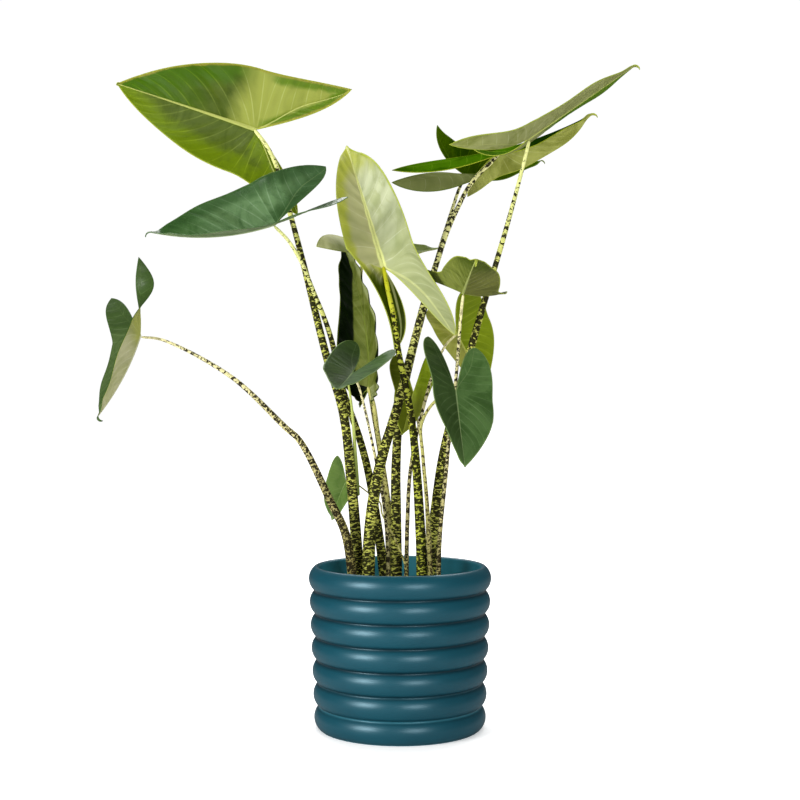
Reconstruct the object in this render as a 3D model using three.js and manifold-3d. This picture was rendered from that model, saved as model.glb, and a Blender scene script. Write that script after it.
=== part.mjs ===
// Potted zebrina alocasia: a ribbed pot of soil with fifteen arrow-shaped leaves on mottled stalks.
// Units are millimetres, +Z is up, and the origin is the centre of the pot's flat base.
import * as THREE from 'three';
import { mergeVertices } from 'three/addons/utils/BufferGeometryUtils.js';
import Module from 'manifold-3d';

const wasm = await Module();
wasm.setup();

// Clearance between pieces that touch
const GAP = 0.3;

// Ribbed pot: rounded rings stacked from the base to the crest of the rim
const RING_COUNT = 7;
const RING_PITCH = 29;
const RING_DEPTH = 7;
const RING_STEPS = 4;
const POT_RADIUS = 115;
const TAPER_PER_RING = 1.14;
const CREST_RADIUS = 4;
const CREST_STEPS = 4;
const POT_FLOOR = 12;
const INNER_FLOOR_RADIUS = 92;
const INNER_CORNER = 12;
const INNER_CORNER_STEPS = 3;
const POT_SEGMENTS = 44;

// Soil: a low mound, hidden below the rim
const SOIL_EDGE_HEIGHT = 160;
const SOIL_CENTRE_HEIGHT = 166;

// Leaf blades
const BLADE_THICKNESS = 1.2;
const BLADE_COLUMNS = 3;
const HOOK_ROWS = 3;
const LONG_HOOK = 60;
const MAIN_ROWS = 7;
const LOBE_ROWS = 5;
const WAVE_COUNT = 3;
const WAVE_HEIGHT = 0.012;
const MITRE_LIMIT = 1.6;

// Flat outline of a blade, as shares of the midrib's length, which runs from 0 at the stalk to 1
const WIDEST_AT = 0.08;
const TIP_WIDTH = 0.012;
const POINT_WIDTH = 0.004;
const TIP_FLAT = 0.14;
const TIP_PULL = [0.1, 0.9];
const WIDEST_PULL = 0.44;
const WAIST_PULL = 0.16;

// Row values along the edge, from 0 at the drip tip to 1 at the lobe's end
const TIP_ROW = 0.08;
const LOBE_ROW = 0.62;

// Pulls on a lobe's two edges, as shares of the lobe's length along it and across it. The last two are
// what a blunt lobe adds to each.
const MARGIN_PULL = [0.7, 0.2, 0.3, 0.2];
const SINUS_START_PULL = [0.3, -0.05, 0, 0];
const SINUS_END_PULL = [0.72, -0.14, 0.28, -0.1];
const LOBE_RIB_SHARE = 0.25;

// Stalks: they taper from the soil up, and the lowest stretch keeps its full radius
const STALK_SIDES = 8;
const STALK_STATIONS = 14;
const STALK_FULL_FROM = 0.85;
const STALK_TAPER_POWER = 1.1;
const SEAT_FORWARD = 2;
const SEAT_GAP = 0.6;

// Each leaf, measured in millimetres and degrees. attach is where the stalk meets the midrib, and tip
// is the far end of the midrib. roll turns the upper face about the midrib, arch bends the midrib down,
// and hook bends the drip tip, which is drip long as a share of the midrib. Each half has its width and
// its lobe's length as shares of the midrib, the angle between lobe and midrib (spread), its rise from
// the midrib (fold), how far its edge rolls back (curl), and how far its lobe hangs (droop) and rises
// (lobeFold). Some halves are drawn in behind the widest place (waist), end bluntly (blunt), are fuller
// between the lobes (belly) or turn their lobe about its own rib (twist). stalk lists the points of the
// stalk from just below the blade down into the soil.
const LEAVES = [
  {
    name: 'top_left',
    attach: [-189, 75, 766], tip: [-375, 111, 833],
    roll: 83, arch: 19, hook: 150, drip: 0.035,
    right: { width: 0.32, fold: 3, curl: 29, lobe: 0.65, spread: 43, droop: -14, lobeFold: 8 },
    left: { width: 0.38, fold: 7, curl: 6, lobe: 0.7, spread: 39, droop: 10, lobeFold: 15 },
    stalk: [[-173, 65, 742], [-158, 55, 709], [-141, 38, 651], [-124, 25, 589], [-93, 10, 467],
      [-72, 4, 397], [-62, 4, 314], [-53, 10, 191], [-52, 12, 126]],
    stalkRadius: [2.4, 7.2],
  },
  {
    name: 'upper_left',
    attach: [-151, -70, 626], tip: [-294, -109, 612],
    roll: -18, arch: -31, hook: 100, drip: 0.07,
    right: {
      width: 0.39, fold: 46, curl: -21, lobe: 0.73, spread: 37, droop: 3, lobeFold: 18,
      blunt: 0.35,
    },
    left: {
      width: 0.33, fold: 21, curl: 6, lobe: 0.69, spread: 33, droop: -17, lobeFold: 9,
      blunt: 0.4,
    },
    stalk: [[-136, -64, 607], [-121, -50, 582], [-108, -26, 549], [-89, 18, 495], [-73, 22, 426],
      [-51, 24, 361], [-38, 28, 307], [-21, 35, 188], [-18, 36, 122]],
    stalkRadius: [1.9, 6.2],
  },
  {
    name: 'far_left',
    attach: [-322, -30, 493], tip: [-360, -97, 395],
    roll: 45, arch: -18, hook: 140, drip: 0.09, tipWidth: 0.03,
    right: {
      width: 0.31, fold: 37, curl: -17, lobe: 0.78, spread: 48, droop: 7, lobeFold: 24,
      blunt: 0.35,
    },
    left: {
      width: 0.32, fold: 30, curl: 7, lobe: 0.77, spread: 37, droop: 0, lobeFold: 39,
      twist: -150,
    },
    stalk: [[-294, -30, 487], [-209, -27, 441], [-143, -24, 379], [-125, -22, 362], [-86, -17, 284],
      [-69, -14, 247], [-60, -12, 194], [-57, -9, 130]],
    stalkRadius: [1.5, 6.0],
  },
  {
    name: 'centre',
    attach: [-20, -40, 575], tip: [-68, 46, 737],
    roll: 154, arch: -5, hook: 20, drip: 0.02,
    right: {
      width: 0.31, fold: -31, curl: 25, lobe: 0.55, spread: 6, droop: -46, lobeFold: -6,
      waist: 0.9, blunt: 0.3, belly: 0.12,
    },
    left: {
      width: 0.37, fold: -38, curl: 45, lobe: 0.64, spread: 34, droop: -52, lobeFold: 18,
      blunt: 0.2, belly: -0.1,
    },
    stalk: [[-15, -58, 548], [-7, -60, 511], [-2, -50, 474], [15, -31, 383], [26, -20, 238],
      [29, -16, 131]],
    stalkRadius: [2.4, 7.0],
  },
  {
    name: 'top_right',
    attach: [155, -60, 730], tip: [285, -48, 821],
    roll: -16, arch: 0, hook: 120, drip: 0.07, tipWidth: 0.02,
    right: { width: 0.32, fold: -6, curl: -5, lobe: 0.69, spread: 42, droop: 22, lobeFold: 40 },
    left: { width: 0.33, fold: 4, curl: -21, lobe: 0.56, spread: 43, droop: -23, lobeFold: 39 },
    stalk: [[149, -56, 694], [135, -48, 640], [119, -36, 583], [103, -28, 529], [88, -22, 476],
      [71, -13, 413], [55, -3, 344], [47, 6, 286], [38, 14, 191], [37, 16, 126]],
    stalkRadius: [2.0, 7.6],
  },
  {
    name: 'right',
    attach: [128, 48, 735], tip: [246, 46, 780],
    roll: -21, arch: -16, hook: 110, drip: 0.09, tipWidth: 0.02,
    right: { width: 0.4, fold: -27, curl: 20, lobe: 1.08, spread: 30, droop: -34, lobeFold: -37 },
    left: { width: 0.31, fold: -17, curl: 13, lobe: 0.65, spread: 47, droop: 11, lobeFold: -10 },
    stalk: [[117, 47, 718], [104, 46, 706], [88, 44, 686], [76, 41, 663], [61, 35, 630], [46, 25, 585],
      [30, 13, 533], [15, 0, 475], [-5, -17, 398], [-20, -24, 350], [-31, -29, 301], [-38, -30, 239],
      [-39, -24, 132]],
    stalkRadius: [2.2, 7.8],
  },
  {
    name: 'right_back',
    attach: [85, 118, 714], tip: [195, 187, 743],
    roll: -2, arch: -18, hook: 90, drip: 0.07,
    right: { width: 0.26, fold: -1, curl: 43, lobe: 0.92, spread: 28, droop: -33, lobeFold: -31 },
    left: { width: 0.36, fold: 59, curl: -32, lobe: 0.62, spread: 53, droop: -34, lobeFold: 53 },
    stalk: [[78, 116, 691], [67, 106, 657], [54, 88, 615], [35, 68, 543], [17, 49, 476], [0, 33, 399],
      [-5, 24, 330], [-5, 20, 259], [-4, 18, 125]],
    stalkRadius: [2.0, 7.2],
  },
  {
    name: 'centre_back',
    attach: [-49, 60, 612], tip: [53, 130, 617],
    roll: -5, arch: -27, hook: 50, drip: 0.05,
    right: { width: 0.33, fold: 5, curl: 50, lobe: 1.06, spread: 35, droop: 14, lobeFold: 24 },
    left: { width: 0.33, fold: 40, curl: -13, lobe: 0.44, spread: 44, droop: -42, lobeFold: 64 },
    stalk: [[-51, 58, 568], [-49, 54, 503], [-40, 48, 431], [-21, 50, 311], [-13, 55, 230],
      [-9, 60, 118]],
    stalkRadius: [1.8, 4.2],
  },
  {
    name: 'young_back',
    attach: [-39, 24, 428], tip: [-72, 28, 610],
    roll: 39, arch: 27, hook: 20, drip: 0.02,
    right: {
      width: 0.22, fold: -32, curl: 34, lobe: 0.16, spread: 35, droop: 12, lobeFold: 1,
      waist: 0.3,
    },
    left: {
      width: 0.21, fold: 10, curl: 51, lobe: 0.15, spread: 33, droop: 16, lobeFold: -1,
      waist: 0.25,
    },
    stalk: [[-34, 24, 407], [-29, 25, 374], [-15, 36, 277], [-8, 42, 187], [-6, 43, 121]],
    stalkRadius: [2.6, 4.4],
  },
  {
    name: 'inner_right',
    attach: [72, 34, 499], tip: [111, 91, 425],
    roll: -26, arch: 18, hook: 20, drip: 0.02,
    right: {
      width: 0.45, fold: 25, curl: 13, lobe: 0.73, spread: 32, droop: 14, lobeFold: 17,
      blunt: 0.7,
    },
    left: {
      width: 0.34, fold: 37, curl: 12, lobe: 0.53, spread: 18, droop: 6, lobeFold: 22,
      blunt: 0.7,
    },
    stalk: [[59, 27, 483], [40, -14, 442], [30, -15, 406], [14, -12, 332], [9, -3, 249], [8, -2, 129]],
    stalkRadius: [1.5, 3.0],
  },
  {
    name: 'heart_right',
    attach: [66, -110, 423], tip: [74, -172, 339],
    roll: -22, arch: -3, hook: 20, drip: 0.02,
    right: {
      width: 0.39, fold: 20, curl: 5, lobe: 0.74, spread: 26, droop: 12, lobeFold: 17,
      blunt: 0.8,
    },
    left: { width: 0.45, fold: 12, curl: 7, lobe: 0.71, spread: 26, droop: 7, lobeFold: 24, blunt: 0.8 },
    stalk: [[56, -96, 420], [39, -78, 408], [26, -62, 383], [28, -50, 345], [33, -40, 289],
      [37, -35, 215], [38, -33, 134]],
    stalkRadius: [1.6, 3.2],
  },
  {
    name: 'cupped_right',
    attach: [75, -102, 540], tip: [84, -220, 570],
    roll: -5, arch: 5, hook: 200, drip: 0.12,
    right: { width: 0.29, fold: 37, curl: -4, lobe: 0.61, spread: 65, droop: 8, lobeFold: 19 },
    left: { width: 0.34, fold: 13, curl: 8, lobe: 0.6, spread: 58, droop: 2, lobeFold: 40, blunt: 0.1 },
    stalk: [[73, -97, 519], [67, -72, 431], [62, -57, 388], [57, -45, 327], [49, -36, 240],
      [47, -32, 134]],
    stalkRadius: [1.7, 3.0],
  },
  {
    name: 'small_inner',
    attach: [17, 14, 422], tip: [3, 8, 369],
    roll: -30, arch: -6, hook: 20, drip: 0.02,
    right: {
      width: 0.42, fold: 26, curl: -5, lobe: 0.97, spread: 42, droop: 12, lobeFold: 20,
      blunt: 0.8,
    },
    left: {
      width: 0.35, fold: -10, curl: 20, lobe: 0.99, spread: 18, droop: -5, lobeFold: 16,
      blunt: 0.8,
    },
    stalk: [[18, 15, 410], [27, 17, 361], [34, 5, 273], [35, -1, 128]],
    stalkRadius: [1.5, 2.6],
  },
  {
    name: 'small_front',
    attach: [-58, -75, 445], tip: [-72, -176, 427],
    roll: -16, arch: -10, hook: 30, drip: 0.02,
    right: {
      width: 0.33, fold: 18, curl: 8, lobe: 0.74, spread: 12, droop: -20, lobeFold: 29,
      blunt: 0.8,
    },
    left: {
      width: 0.33, fold: 30, curl: 1, lobe: 0.71, spread: 35, droop: -6, lobeFold: 36,
      blunt: 0.8,
    },
    stalk: [[-52, -67, 434], [-31, -16, 341], [-18, -8, 262], [-14, -8, 130]],
    stalkRadius: [1.3, 2.6],
  },
  {
    name: 'small_low',
    attach: [-70, 51, 306], tip: [-90, 85, 254],
    roll: -101, arch: 11, hook: 20, drip: 0.02,
    right: {
      width: 0.37, fold: 40, curl: -2, lobe: 0.57, spread: 42, droop: -3, lobeFold: 26,
      blunt: 0.5,
    },
    left: {
      width: 0.33, fold: 12, curl: -5, lobe: 0.65, spread: 34, droop: -4, lobeFold: 52,
      blunt: 0.5,
    },
    stalk: [[-61, 51, 305], [-40, 48, 291], [-26, 40, 280], [-23, 24, 267], [-14, 2, 251],
      [-5, -9, 235], [8, -14, 199], [10, -14, 131]],
    stalkRadius: [0.9, 1.3],
  },
];

// New rolled leaf: it grows out of the first leaf's stalk and narrows to a point
const SPEAR = {
  route: [[-54, 12, 290], [-55, 11, 313], [-57, 6, 350], [-59, 0, 383], [-62, -6, 414], [-66, -12, 442],
    [-68, -18, 459]],
  radius: [3.2, 0.8],
  colour: 0xa9bd5c,
};

const UPPER_GREEN = 0x35602c;
const STALK_COLOUR = 0x8c9a45;
const POT_COLOUR = 0x1e5764;
const SOIL_COLOUR = 0x3a2a1e;

function radians(degrees) {
  return THREE.MathUtils.degToRad(degrees);
}

function vector(point) {
  return new THREE.Vector3(...point);
}

// A closed solid from a geometry whose shared vertices are merged
function solidFrom(geometry) {
  const bare = geometry.clone();
  bare.deleteAttribute('normal');
  bare.deleteAttribute('uv');
  const merged = mergeVertices(bare, 1e-4);
  const vertProperties = merged.attributes.position.array;
  const triVerts = new Uint32Array(merged.index.array);
  return new wasm.Manifold(new wasm.Mesh({ numProp: 3, vertProperties, triVerts }));
}

function geometryFrom(solid) {
  const { vertProperties, triVerts } = solid.getMesh();
  const geometry = new THREE.BufferGeometry();
  geometry.setAttribute('position', new THREE.BufferAttribute(vertProperties, 3));
  geometry.setIndex(new THREE.BufferAttribute(triVerts, 1));
  geometry.computeVertexNormals();
  return geometry;
}

function geometryFromTriangles(points, triangles) {
  const geometry = new THREE.BufferGeometry();
  geometry.setAttribute('position', new THREE.Float32BufferAttribute(points.flatMap((p) => p.toArray()), 3));
  geometry.setIndex(triangles.flat());
  geometry.computeVertexNormals();
  return geometry;
}

function largestBody(solid) {
  return solid.decompose().sort((a, b) => b.volume() - a.volume())[0];
}

// Points on an arc about a centre, from one angle to another, without the first
function arc(centre, radius, from, to, steps) {
  return Array.from({ length: steps }, (_, k) => {
    const angle = from + ((to - from) * (k + 1)) / steps;
    return new THREE.Vector2(centre.x + radius * Math.cos(angle), centre.y + radius * Math.sin(angle));
  });
}

// Pot: half the ring's arc angle follows from its pitch and depth
const RING_RADIUS = ((RING_PITCH / 2) ** 2 + RING_DEPTH ** 2) / (2 * RING_DEPTH);
const RING_HALF_ANGLE = Math.asin(RING_PITCH / 2 / RING_RADIUS);
const CREST_CENTRE = new THREE.Vector2(
  POT_RADIUS - RING_DEPTH - CREST_RADIUS * Math.cos(RING_HALF_ANGLE),
  RING_COUNT * RING_PITCH - CREST_RADIUS * Math.sin(RING_HALF_ANGLE),
);
const INNER_RIM_RADIUS = CREST_CENTRE.x - CREST_RADIUS;
const CORNER_CENTRE = new THREE.Vector2(INNER_FLOOR_RADIUS - INNER_CORNER, POT_FLOOR + INNER_CORNER);

// Radius of the pot's inner wall at a height above its bottom corner
function innerRadius(height) {
  const share = (height - CORNER_CENTRE.y) / (CREST_CENTRE.y - CORNER_CENTRE.y);
  return INNER_FLOOR_RADIUS + (INNER_RIM_RADIUS - INNER_FLOOR_RADIUS) * share;
}

function potGeometry() {
  const outline = [new THREE.Vector2(0, 0)];
  for (let ring = 0; ring < RING_COUNT; ring += 1) {
    const radius = POT_RADIUS - TAPER_PER_RING * (RING_COUNT - 1 - ring);
    const centre = new THREE.Vector2(radius - RING_RADIUS, RING_PITCH * (ring + 0.5));
    if (ring === 0) outline.push(...arc(centre, RING_RADIUS, 0, -RING_HALF_ANGLE, 1));
    outline.push(...arc(centre, RING_RADIUS, -RING_HALF_ANGLE, RING_HALF_ANGLE, RING_STEPS));
  }
  outline.push(...arc(CREST_CENTRE, CREST_RADIUS, RING_HALF_ANGLE, Math.PI, CREST_STEPS));
  outline.push(new THREE.Vector2(INNER_FLOOR_RADIUS, CORNER_CENTRE.y));
  outline.push(...arc(CORNER_CENTRE, INNER_CORNER, 0, -Math.PI / 2, INNER_CORNER_STEPS));
  outline.push(new THREE.Vector2(0, POT_FLOOR));
  return new THREE.LatheGeometry(outline, POT_SEGMENTS).rotateX(Math.PI / 2);
}

function soilGeometry() {
  const outline = [
    new THREE.Vector2(0, POT_FLOOR + GAP),
    new THREE.Vector2(CORNER_CENTRE.x, POT_FLOOR + GAP),
    ...arc(CORNER_CENTRE, INNER_CORNER - GAP, -Math.PI / 2, 0, INNER_CORNER_STEPS),
    new THREE.Vector2(innerRadius(SOIL_EDGE_HEIGHT) - GAP, SOIL_EDGE_HEIGHT),
    new THREE.Vector2(INNER_FLOOR_RADIUS / 2, SOIL_CENTRE_HEIGHT - 1),
    new THREE.Vector2(0, SOIL_CENTRE_HEIGHT),
  ];
  return new THREE.LatheGeometry(outline, POT_SEGMENTS).rotateX(Math.PI / 2);
}

// Frame of a leaf: forward along the midrib, up out of its upper face, and right
function leafFrame(leaf) {
  const attach = vector(leaf.attach);
  const forward = vector(leaf.tip).sub(attach);
  const chord = forward.length();
  forward.normalize();
  const level = new THREE.Vector3(0, 0, 1).projectOnPlane(forward).normalize();
  const up = level.applyAxisAngle(forward, radians(leaf.roll));
  const right = new THREE.Vector3().crossVectors(forward, up);
  const arch = radians(leaf.arch) || 1e-3;
  const length = (chord * (arch / 2)) / Math.sin(arch / 2);
  return { attach, forward, up, right, arch, length };
}

// Flat outline of one half: pairs of points on its inner line and its outer edge, from the drip tip,
// past the widest place, to the end of the lobe. The inner line is the midrib, then the lobe's inner edge.
function halfOutline(half, leaf) {
  const spread = radians(half.spread);
  const along = new THREE.Vector2(Math.sin(spread), -Math.cos(spread)).multiplyScalar(half.lobe);
  const across = new THREE.Vector2(Math.cos(spread), Math.sin(spread)).multiplyScalar(half.lobe);
  const blunt = half.blunt ?? 0;
  const belly = half.belly ?? 0;
  const pull = (half.waist ?? 0) * half.width;
  const tipWidth = leaf.tipWidth ?? TIP_WIDTH;
  const pulled = ([a, b, moreA, moreB]) => new THREE.Vector2()
    .addScaledVector(along, a + moreA * blunt)
    .addScaledVector(across, b + moreB * blunt);
  const origin = new THREE.Vector2();
  const widest = new THREE.Vector2(half.width, WIDEST_AT);
  const margin = new THREE.CubicBezierCurve(
    new THREE.Vector2(tipWidth, 1),
    new THREE.Vector2(...TIP_PULL),
    new THREE.Vector2(half.width, WIDEST_AT + WIDEST_PULL),
    widest,
  );
  const lobeMargin = new THREE.CubicBezierCurve(
    widest,
    new THREE.Vector2(half.width - pull, WIDEST_AT - WAIST_PULL),
    pulled(MARGIN_PULL).sub(new THREE.Vector2(pull / 2, 0)),
    along,
  );
  const sinus = new THREE.CubicBezierCurve(
    origin,
    pulled(SINUS_START_PULL).addScaledVector(across, -belly),
    pulled(SINUS_END_PULL).addScaledVector(across, -belly),
    along,
  );
  const rows = [];
  const hookRows = leaf.hook > LONG_HOOK ? HOOK_ROWS : 1;
  for (let k = 0; k < hookRows; k += 1) {
    const t = k / hookRows;
    const y = 1 + leaf.drip * (1 - t);
    const halfWidth = k === 0 ? 0 : THREE.MathUtils.lerp(POINT_WIDTH, tipWidth, t);
    rows.push({ inner: new THREE.Vector2(0, y), outer: new THREE.Vector2(halfWidth, y), wave: 0 });
  }
  for (let k = 0; k <= MAIN_ROWS; k += 1) {
    const t = k / MAIN_ROWS;
    const wave = THREE.MathUtils.lerp(TIP_ROW, LOBE_ROW, t);
    rows.push({ inner: new THREE.Vector2(0, 1 - t), outer: margin.getPoint(t), wave });
  }
  for (let k = 1; k <= LOBE_ROWS; k += 1) {
    const t = k / LOBE_ROWS;
    const wave = THREE.MathUtils.lerp(LOBE_ROW, 1, t);
    rows.push({ inner: sinus.getPoint(t), outer: lobeMargin.getPoint(t), wave });
  }
  return { rows, firstLobeRow: hookRows + MAIN_ROWS + 1 };
}

// Height and reach of a circular arc of a given bend, after a distance along it
function bentArc(start, bend, distance) {
  const k = Math.abs(bend) < 1e-7 ? 1e-7 : bend;
  return {
    reach: (Math.sin(start) - Math.sin(start - k * distance)) / k,
    rise: (Math.cos(start - k * distance) - Math.cos(start)) / k,
    angle: start - k * distance,
  };
}

// Place of a flat point on the bent blade. side is 1 for the right half and -1 for the left half.
function bladePoint(frame, leaf, half, side, flat, edgeShare, wave) {
  const { length, arch } = frame;
  const x = flat.x * length;
  const y = flat.y * length;
  const lobeLength = half.lobe * length;
  const past = Math.max(-y, 0);
  const ahead = THREE.MathUtils.clamp(y, 0, length);
  const hooked = Math.max(y - length, 0);
  const main = bentArc(arch / 2, arch / length, ahead);
  const drooping = bentArc(arch / 2, -radians(half.droop) / lobeLength, past);
  const hook = bentArc(-arch / 2, radians(leaf.hook) / (leaf.drip * length), hooked);
  const reach = main.reach - drooping.reach + hook.reach;
  const rise = main.rise - drooping.rise + hook.rise;
  const angle = main.angle + (drooping.angle - arch / 2) + (hook.angle + arch / 2);
  const lobeShare = THREE.MathUtils.smoothstep(past, 0, lobeLength);
  const flatten = THREE.MathUtils.smoothstep(1 - flat.y, 0, TIP_FLAT);
  const fold = radians(THREE.MathUtils.lerp(half.fold, half.lobeFold, lobeShare)) * flatten;
  const section = bentArc(fold, radians(half.curl) / (half.width * length), x);
  const ripple = Math.sin(2 * Math.PI * WAVE_COUNT * wave + side) * Math.sin(Math.PI * wave);
  const lift = section.rise + WAVE_HEIGHT * length * edgeShare ** 2 * ripple;
  return frame.attach
    .clone()
    .addScaledVector(frame.right, side * section.reach)
    .addScaledVector(frame.forward, reach - lift * Math.sin(angle))
    .addScaledVector(frame.up, rise + lift * Math.cos(angle));
}

// Turns a lobe about its own rib, row by row, up to its full twist at the lobe's end
function twistedPoint(frame, leaf, half, side, row, lobeEnd, point) {
  const ribFlat = row.inner.clone().lerp(row.outer, LOBE_RIB_SHARE);
  const rib = bladePoint(frame, leaf, half, side, ribFlat, LOBE_RIB_SHARE, row.wave);
  const axis = lobeEnd.clone().sub(frame.attach).normalize();
  const angle = side * radians(half.twist) * THREE.MathUtils.smoothstep(-ribFlat.y, 0, half.lobe);
  return point.clone().sub(rib).applyAxisAngle(axis, angle).add(rib);
}

// Middle surface of a blade: two halves that share the midrib, each closed to a point at both ends
function bladeSurface(leaf) {
  const frame = leafFrame(leaf);
  const points = [];
  const halves = [];
  const midrib = [];
  for (const side of [1, -1]) {
    const triangles = [];
    const half = side === 1 ? leaf.right : leaf.left;
    const { rows, firstLobeRow } = halfOutline(half, leaf);
    const last = rows[rows.length - 1];
    const lobeEnd = bladePoint(frame, leaf, half, side, last.inner, 0, last.wave);
    const grid = rows.map((row, i) => {
      const isPoint = i === 0 || i === rows.length - 1;
      const line = [];
      for (let j = 0; j <= BLADE_COLUMNS; j += 1) {
        const share = j / BLADE_COLUMNS;
        const shared = i < firstLobeRow && (j === 0 || isPoint);
        if (shared && midrib[i] !== undefined) {
          line.push(midrib[i]);
        } else if (isPoint && j > 0) {
          line.push(line[0]);
        } else {
          const flat = row.inner.clone().lerp(row.outer, share);
          const point = bladePoint(frame, leaf, half, side, flat, share, row.wave);
          points.push(half.twist ? twistedPoint(frame, leaf, half, side, row, lobeEnd, point) : point);
          line.push(points.length - 1);
          if (shared) midrib[i] = points.length - 1;
        }
      }
      return line;
    });
    for (let i = 0; i + 1 < grid.length; i += 1) {
      for (let j = 0; j < BLADE_COLUMNS; j += 1) {
        const corners = [grid[i][j], grid[i + 1][j], grid[i + 1][j + 1], grid[i][j + 1]];
        for (const [a, b, c] of [[0, 1, 2], [0, 2, 3]]) {
          const triangle = [corners[a], corners[b], corners[c]];
          if (side === -1) triangle.reverse();
          if (new Set(triangle).size === 3) triangles.push(triangle);
        }
      }
    }
    halves.push(triangles);
  }
  return { points, halves };
}

// Gives a surface a thickness: both faces carry the same triangles, and a rim joins them. grow widens
// the outline.
function thickened(points, triangles, thickness, grow = 0) {
  const normals = points.map(() => new THREE.Vector3());
  const edges = new Map();
  for (const [a, b, c] of triangles) {
    const ab = points[b].clone().sub(points[a]);
    const ac = points[c].clone().sub(points[a]);
    const normal = ab.cross(ac);
    for (const [from, to] of [[a, b], [b, c], [c, a]]) {
      normals[from].add(normal);
      edges.set(`${from},${to}`, [from, to]);
    }
  }
  normals.forEach((normal) => normal.normalize());
  const rim = [...edges.values()].filter(([a, b]) => !edges.has(`${b},${a}`));
  const outward = points.map(() => new THREE.Vector3());
  for (const [a, b] of rim) {
    const edge = points[b].clone().sub(points[a]).normalize();
    const out = edge.cross(normals[a].clone().add(normals[b]).normalize());
    outward[a].add(out);
    outward[b].add(out);
  }
  const face = (side) => points.map((point, i) => point.clone()
    .addScaledVector(normals[i], (side * thickness) / 2)
    .addScaledVector(outward[i], (2 * grow) / Math.max(outward[i].lengthSq(), MITRE_LIMIT)));
  const under = (i) => i + points.length;
  const all = [...triangles, ...triangles.map(([a, b, c]) => [under(a), under(c), under(b)])];
  for (const [a, b] of rim) all.push([b, a, under(a)], [b, under(a), under(b)]);
  return geometryFromTriangles([...face(1), ...face(-1)], all);
}

// Round bar along a smooth route, closed at both ends. radiusAt gives its radius by share of its length.
function taperedBar(route, radiusAt, { sides = STALK_SIDES, stations = STALK_STATIONS, grow = 0 } = {}) {
  const curve = new THREE.CatmullRomCurve3(route, false, 'centripetal');
  const points = [];
  const triangles = [];
  for (let i = 0; i <= stations; i += 1) {
    const share = i / stations;
    const tangent = curve.getTangentAt(share);
    const end = i === 0 ? -grow : i === stations ? grow : 0;
    const centre = curve.getPointAt(share).addScaledVector(tangent, end);
    const across = new THREE.Vector3().crossVectors(tangent, new THREE.Vector3(0, 1, 0)).normalize();
    const back = new THREE.Vector3().crossVectors(across, tangent);
    for (let j = 0; j < sides; j += 1) {
      const angle = (2 * Math.PI * j) / sides;
      const radius = radiusAt(share) + grow;
      points.push(centre.clone()
        .addScaledVector(across, radius * Math.cos(angle))
        .addScaledVector(back, radius * Math.sin(angle)));
    }
  }
  for (let i = 0; i < stations; i += 1) {
    for (let j = 0; j < sides; j += 1) {
      const next = (j + 1) % sides;
      const [a, b, c, d] = [i * sides + j, i * sides + next, (i + 1) * sides + next, (i + 1) * sides + j];
      triangles.push([a, c, b], [a, d, c]);
    }
  }
  for (let j = 1; j + 1 < sides; j += 1) {
    const last = stations * sides;
    triangles.push([0, j, j + 1], [last, last + j + 1, last + j]);
  }
  return geometryFromTriangles(points, triangles);
}

// A stalk runs from its seat under the blade down into the soil
function stalkBar(leaf, grow = 0) {
  const { attach, forward, up } = leafFrame(leaf);
  const [top, low] = leaf.stalkRadius;
  const seat = attach
    .addScaledVector(forward, SEAT_FORWARD)
    .addScaledVector(up, -(top / 2 + BLADE_THICKNESS / 2));
  const radiusAt = (share) => {
    const fall = Math.min(1, share / STALK_FULL_FROM) ** STALK_TAPER_POWER;
    return top + (low - top) * fall;
  };
  return taperedBar([seat, ...leaf.stalk.map(vector)], radiusAt, { grow });
}

function piece(name, geometry, colour, roughness) {
  const mesh = new THREE.Mesh(
    geometry,
    new THREE.MeshStandardMaterial({ color: colour, roughness, metalness: 0 }),
  );
  mesh.name = name;
  return mesh;
}

const plant = new THREE.Group();
plant.add(piece('pot', potGeometry(), POT_COLOUR, 0.45));

let soil = solidFrom(soilGeometry());
for (const leaf of LEAVES) {
  const { points, halves } = bladeSurface(leaf);
  const blade = thickened(points, halves.flat(), BLADE_THICKNESS);
  let stalk = solidFrom(stalkBar(leaf));
  for (const half of halves) {
    const around = thickened(points, half, BLADE_THICKNESS + 2 * SEAT_GAP, SEAT_GAP);
    stalk = stalk.subtract(solidFrom(around));
  }
  plant.add(piece(`leaf_${leaf.name}`, blade, UPPER_GREEN, 0.4));
  plant.add(piece(`stalk_${leaf.name}`, geometryFrom(largestBody(stalk)), STALK_COLOUR, 0.55));
  soil = soil.subtract(solidFrom(stalkBar(leaf, GAP)));
}
plant.add(piece('soil', geometryFrom(soil), SOIL_COLOUR, 0.95));

const [rootRadius, pointRadius] = SPEAR.radius;
const spearRadius = (share) => THREE.MathUtils.lerp(rootRadius, pointRadius, share);
const spearBar = taperedBar(SPEAR.route.map(vector), spearRadius);
const spear = largestBody(solidFrom(spearBar).subtract(solidFrom(stalkBar(LEAVES[0], GAP))));
plant.add(piece('spear', geometryFrom(spear), SPEAR.colour, 0.5));

export default plant;
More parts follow.
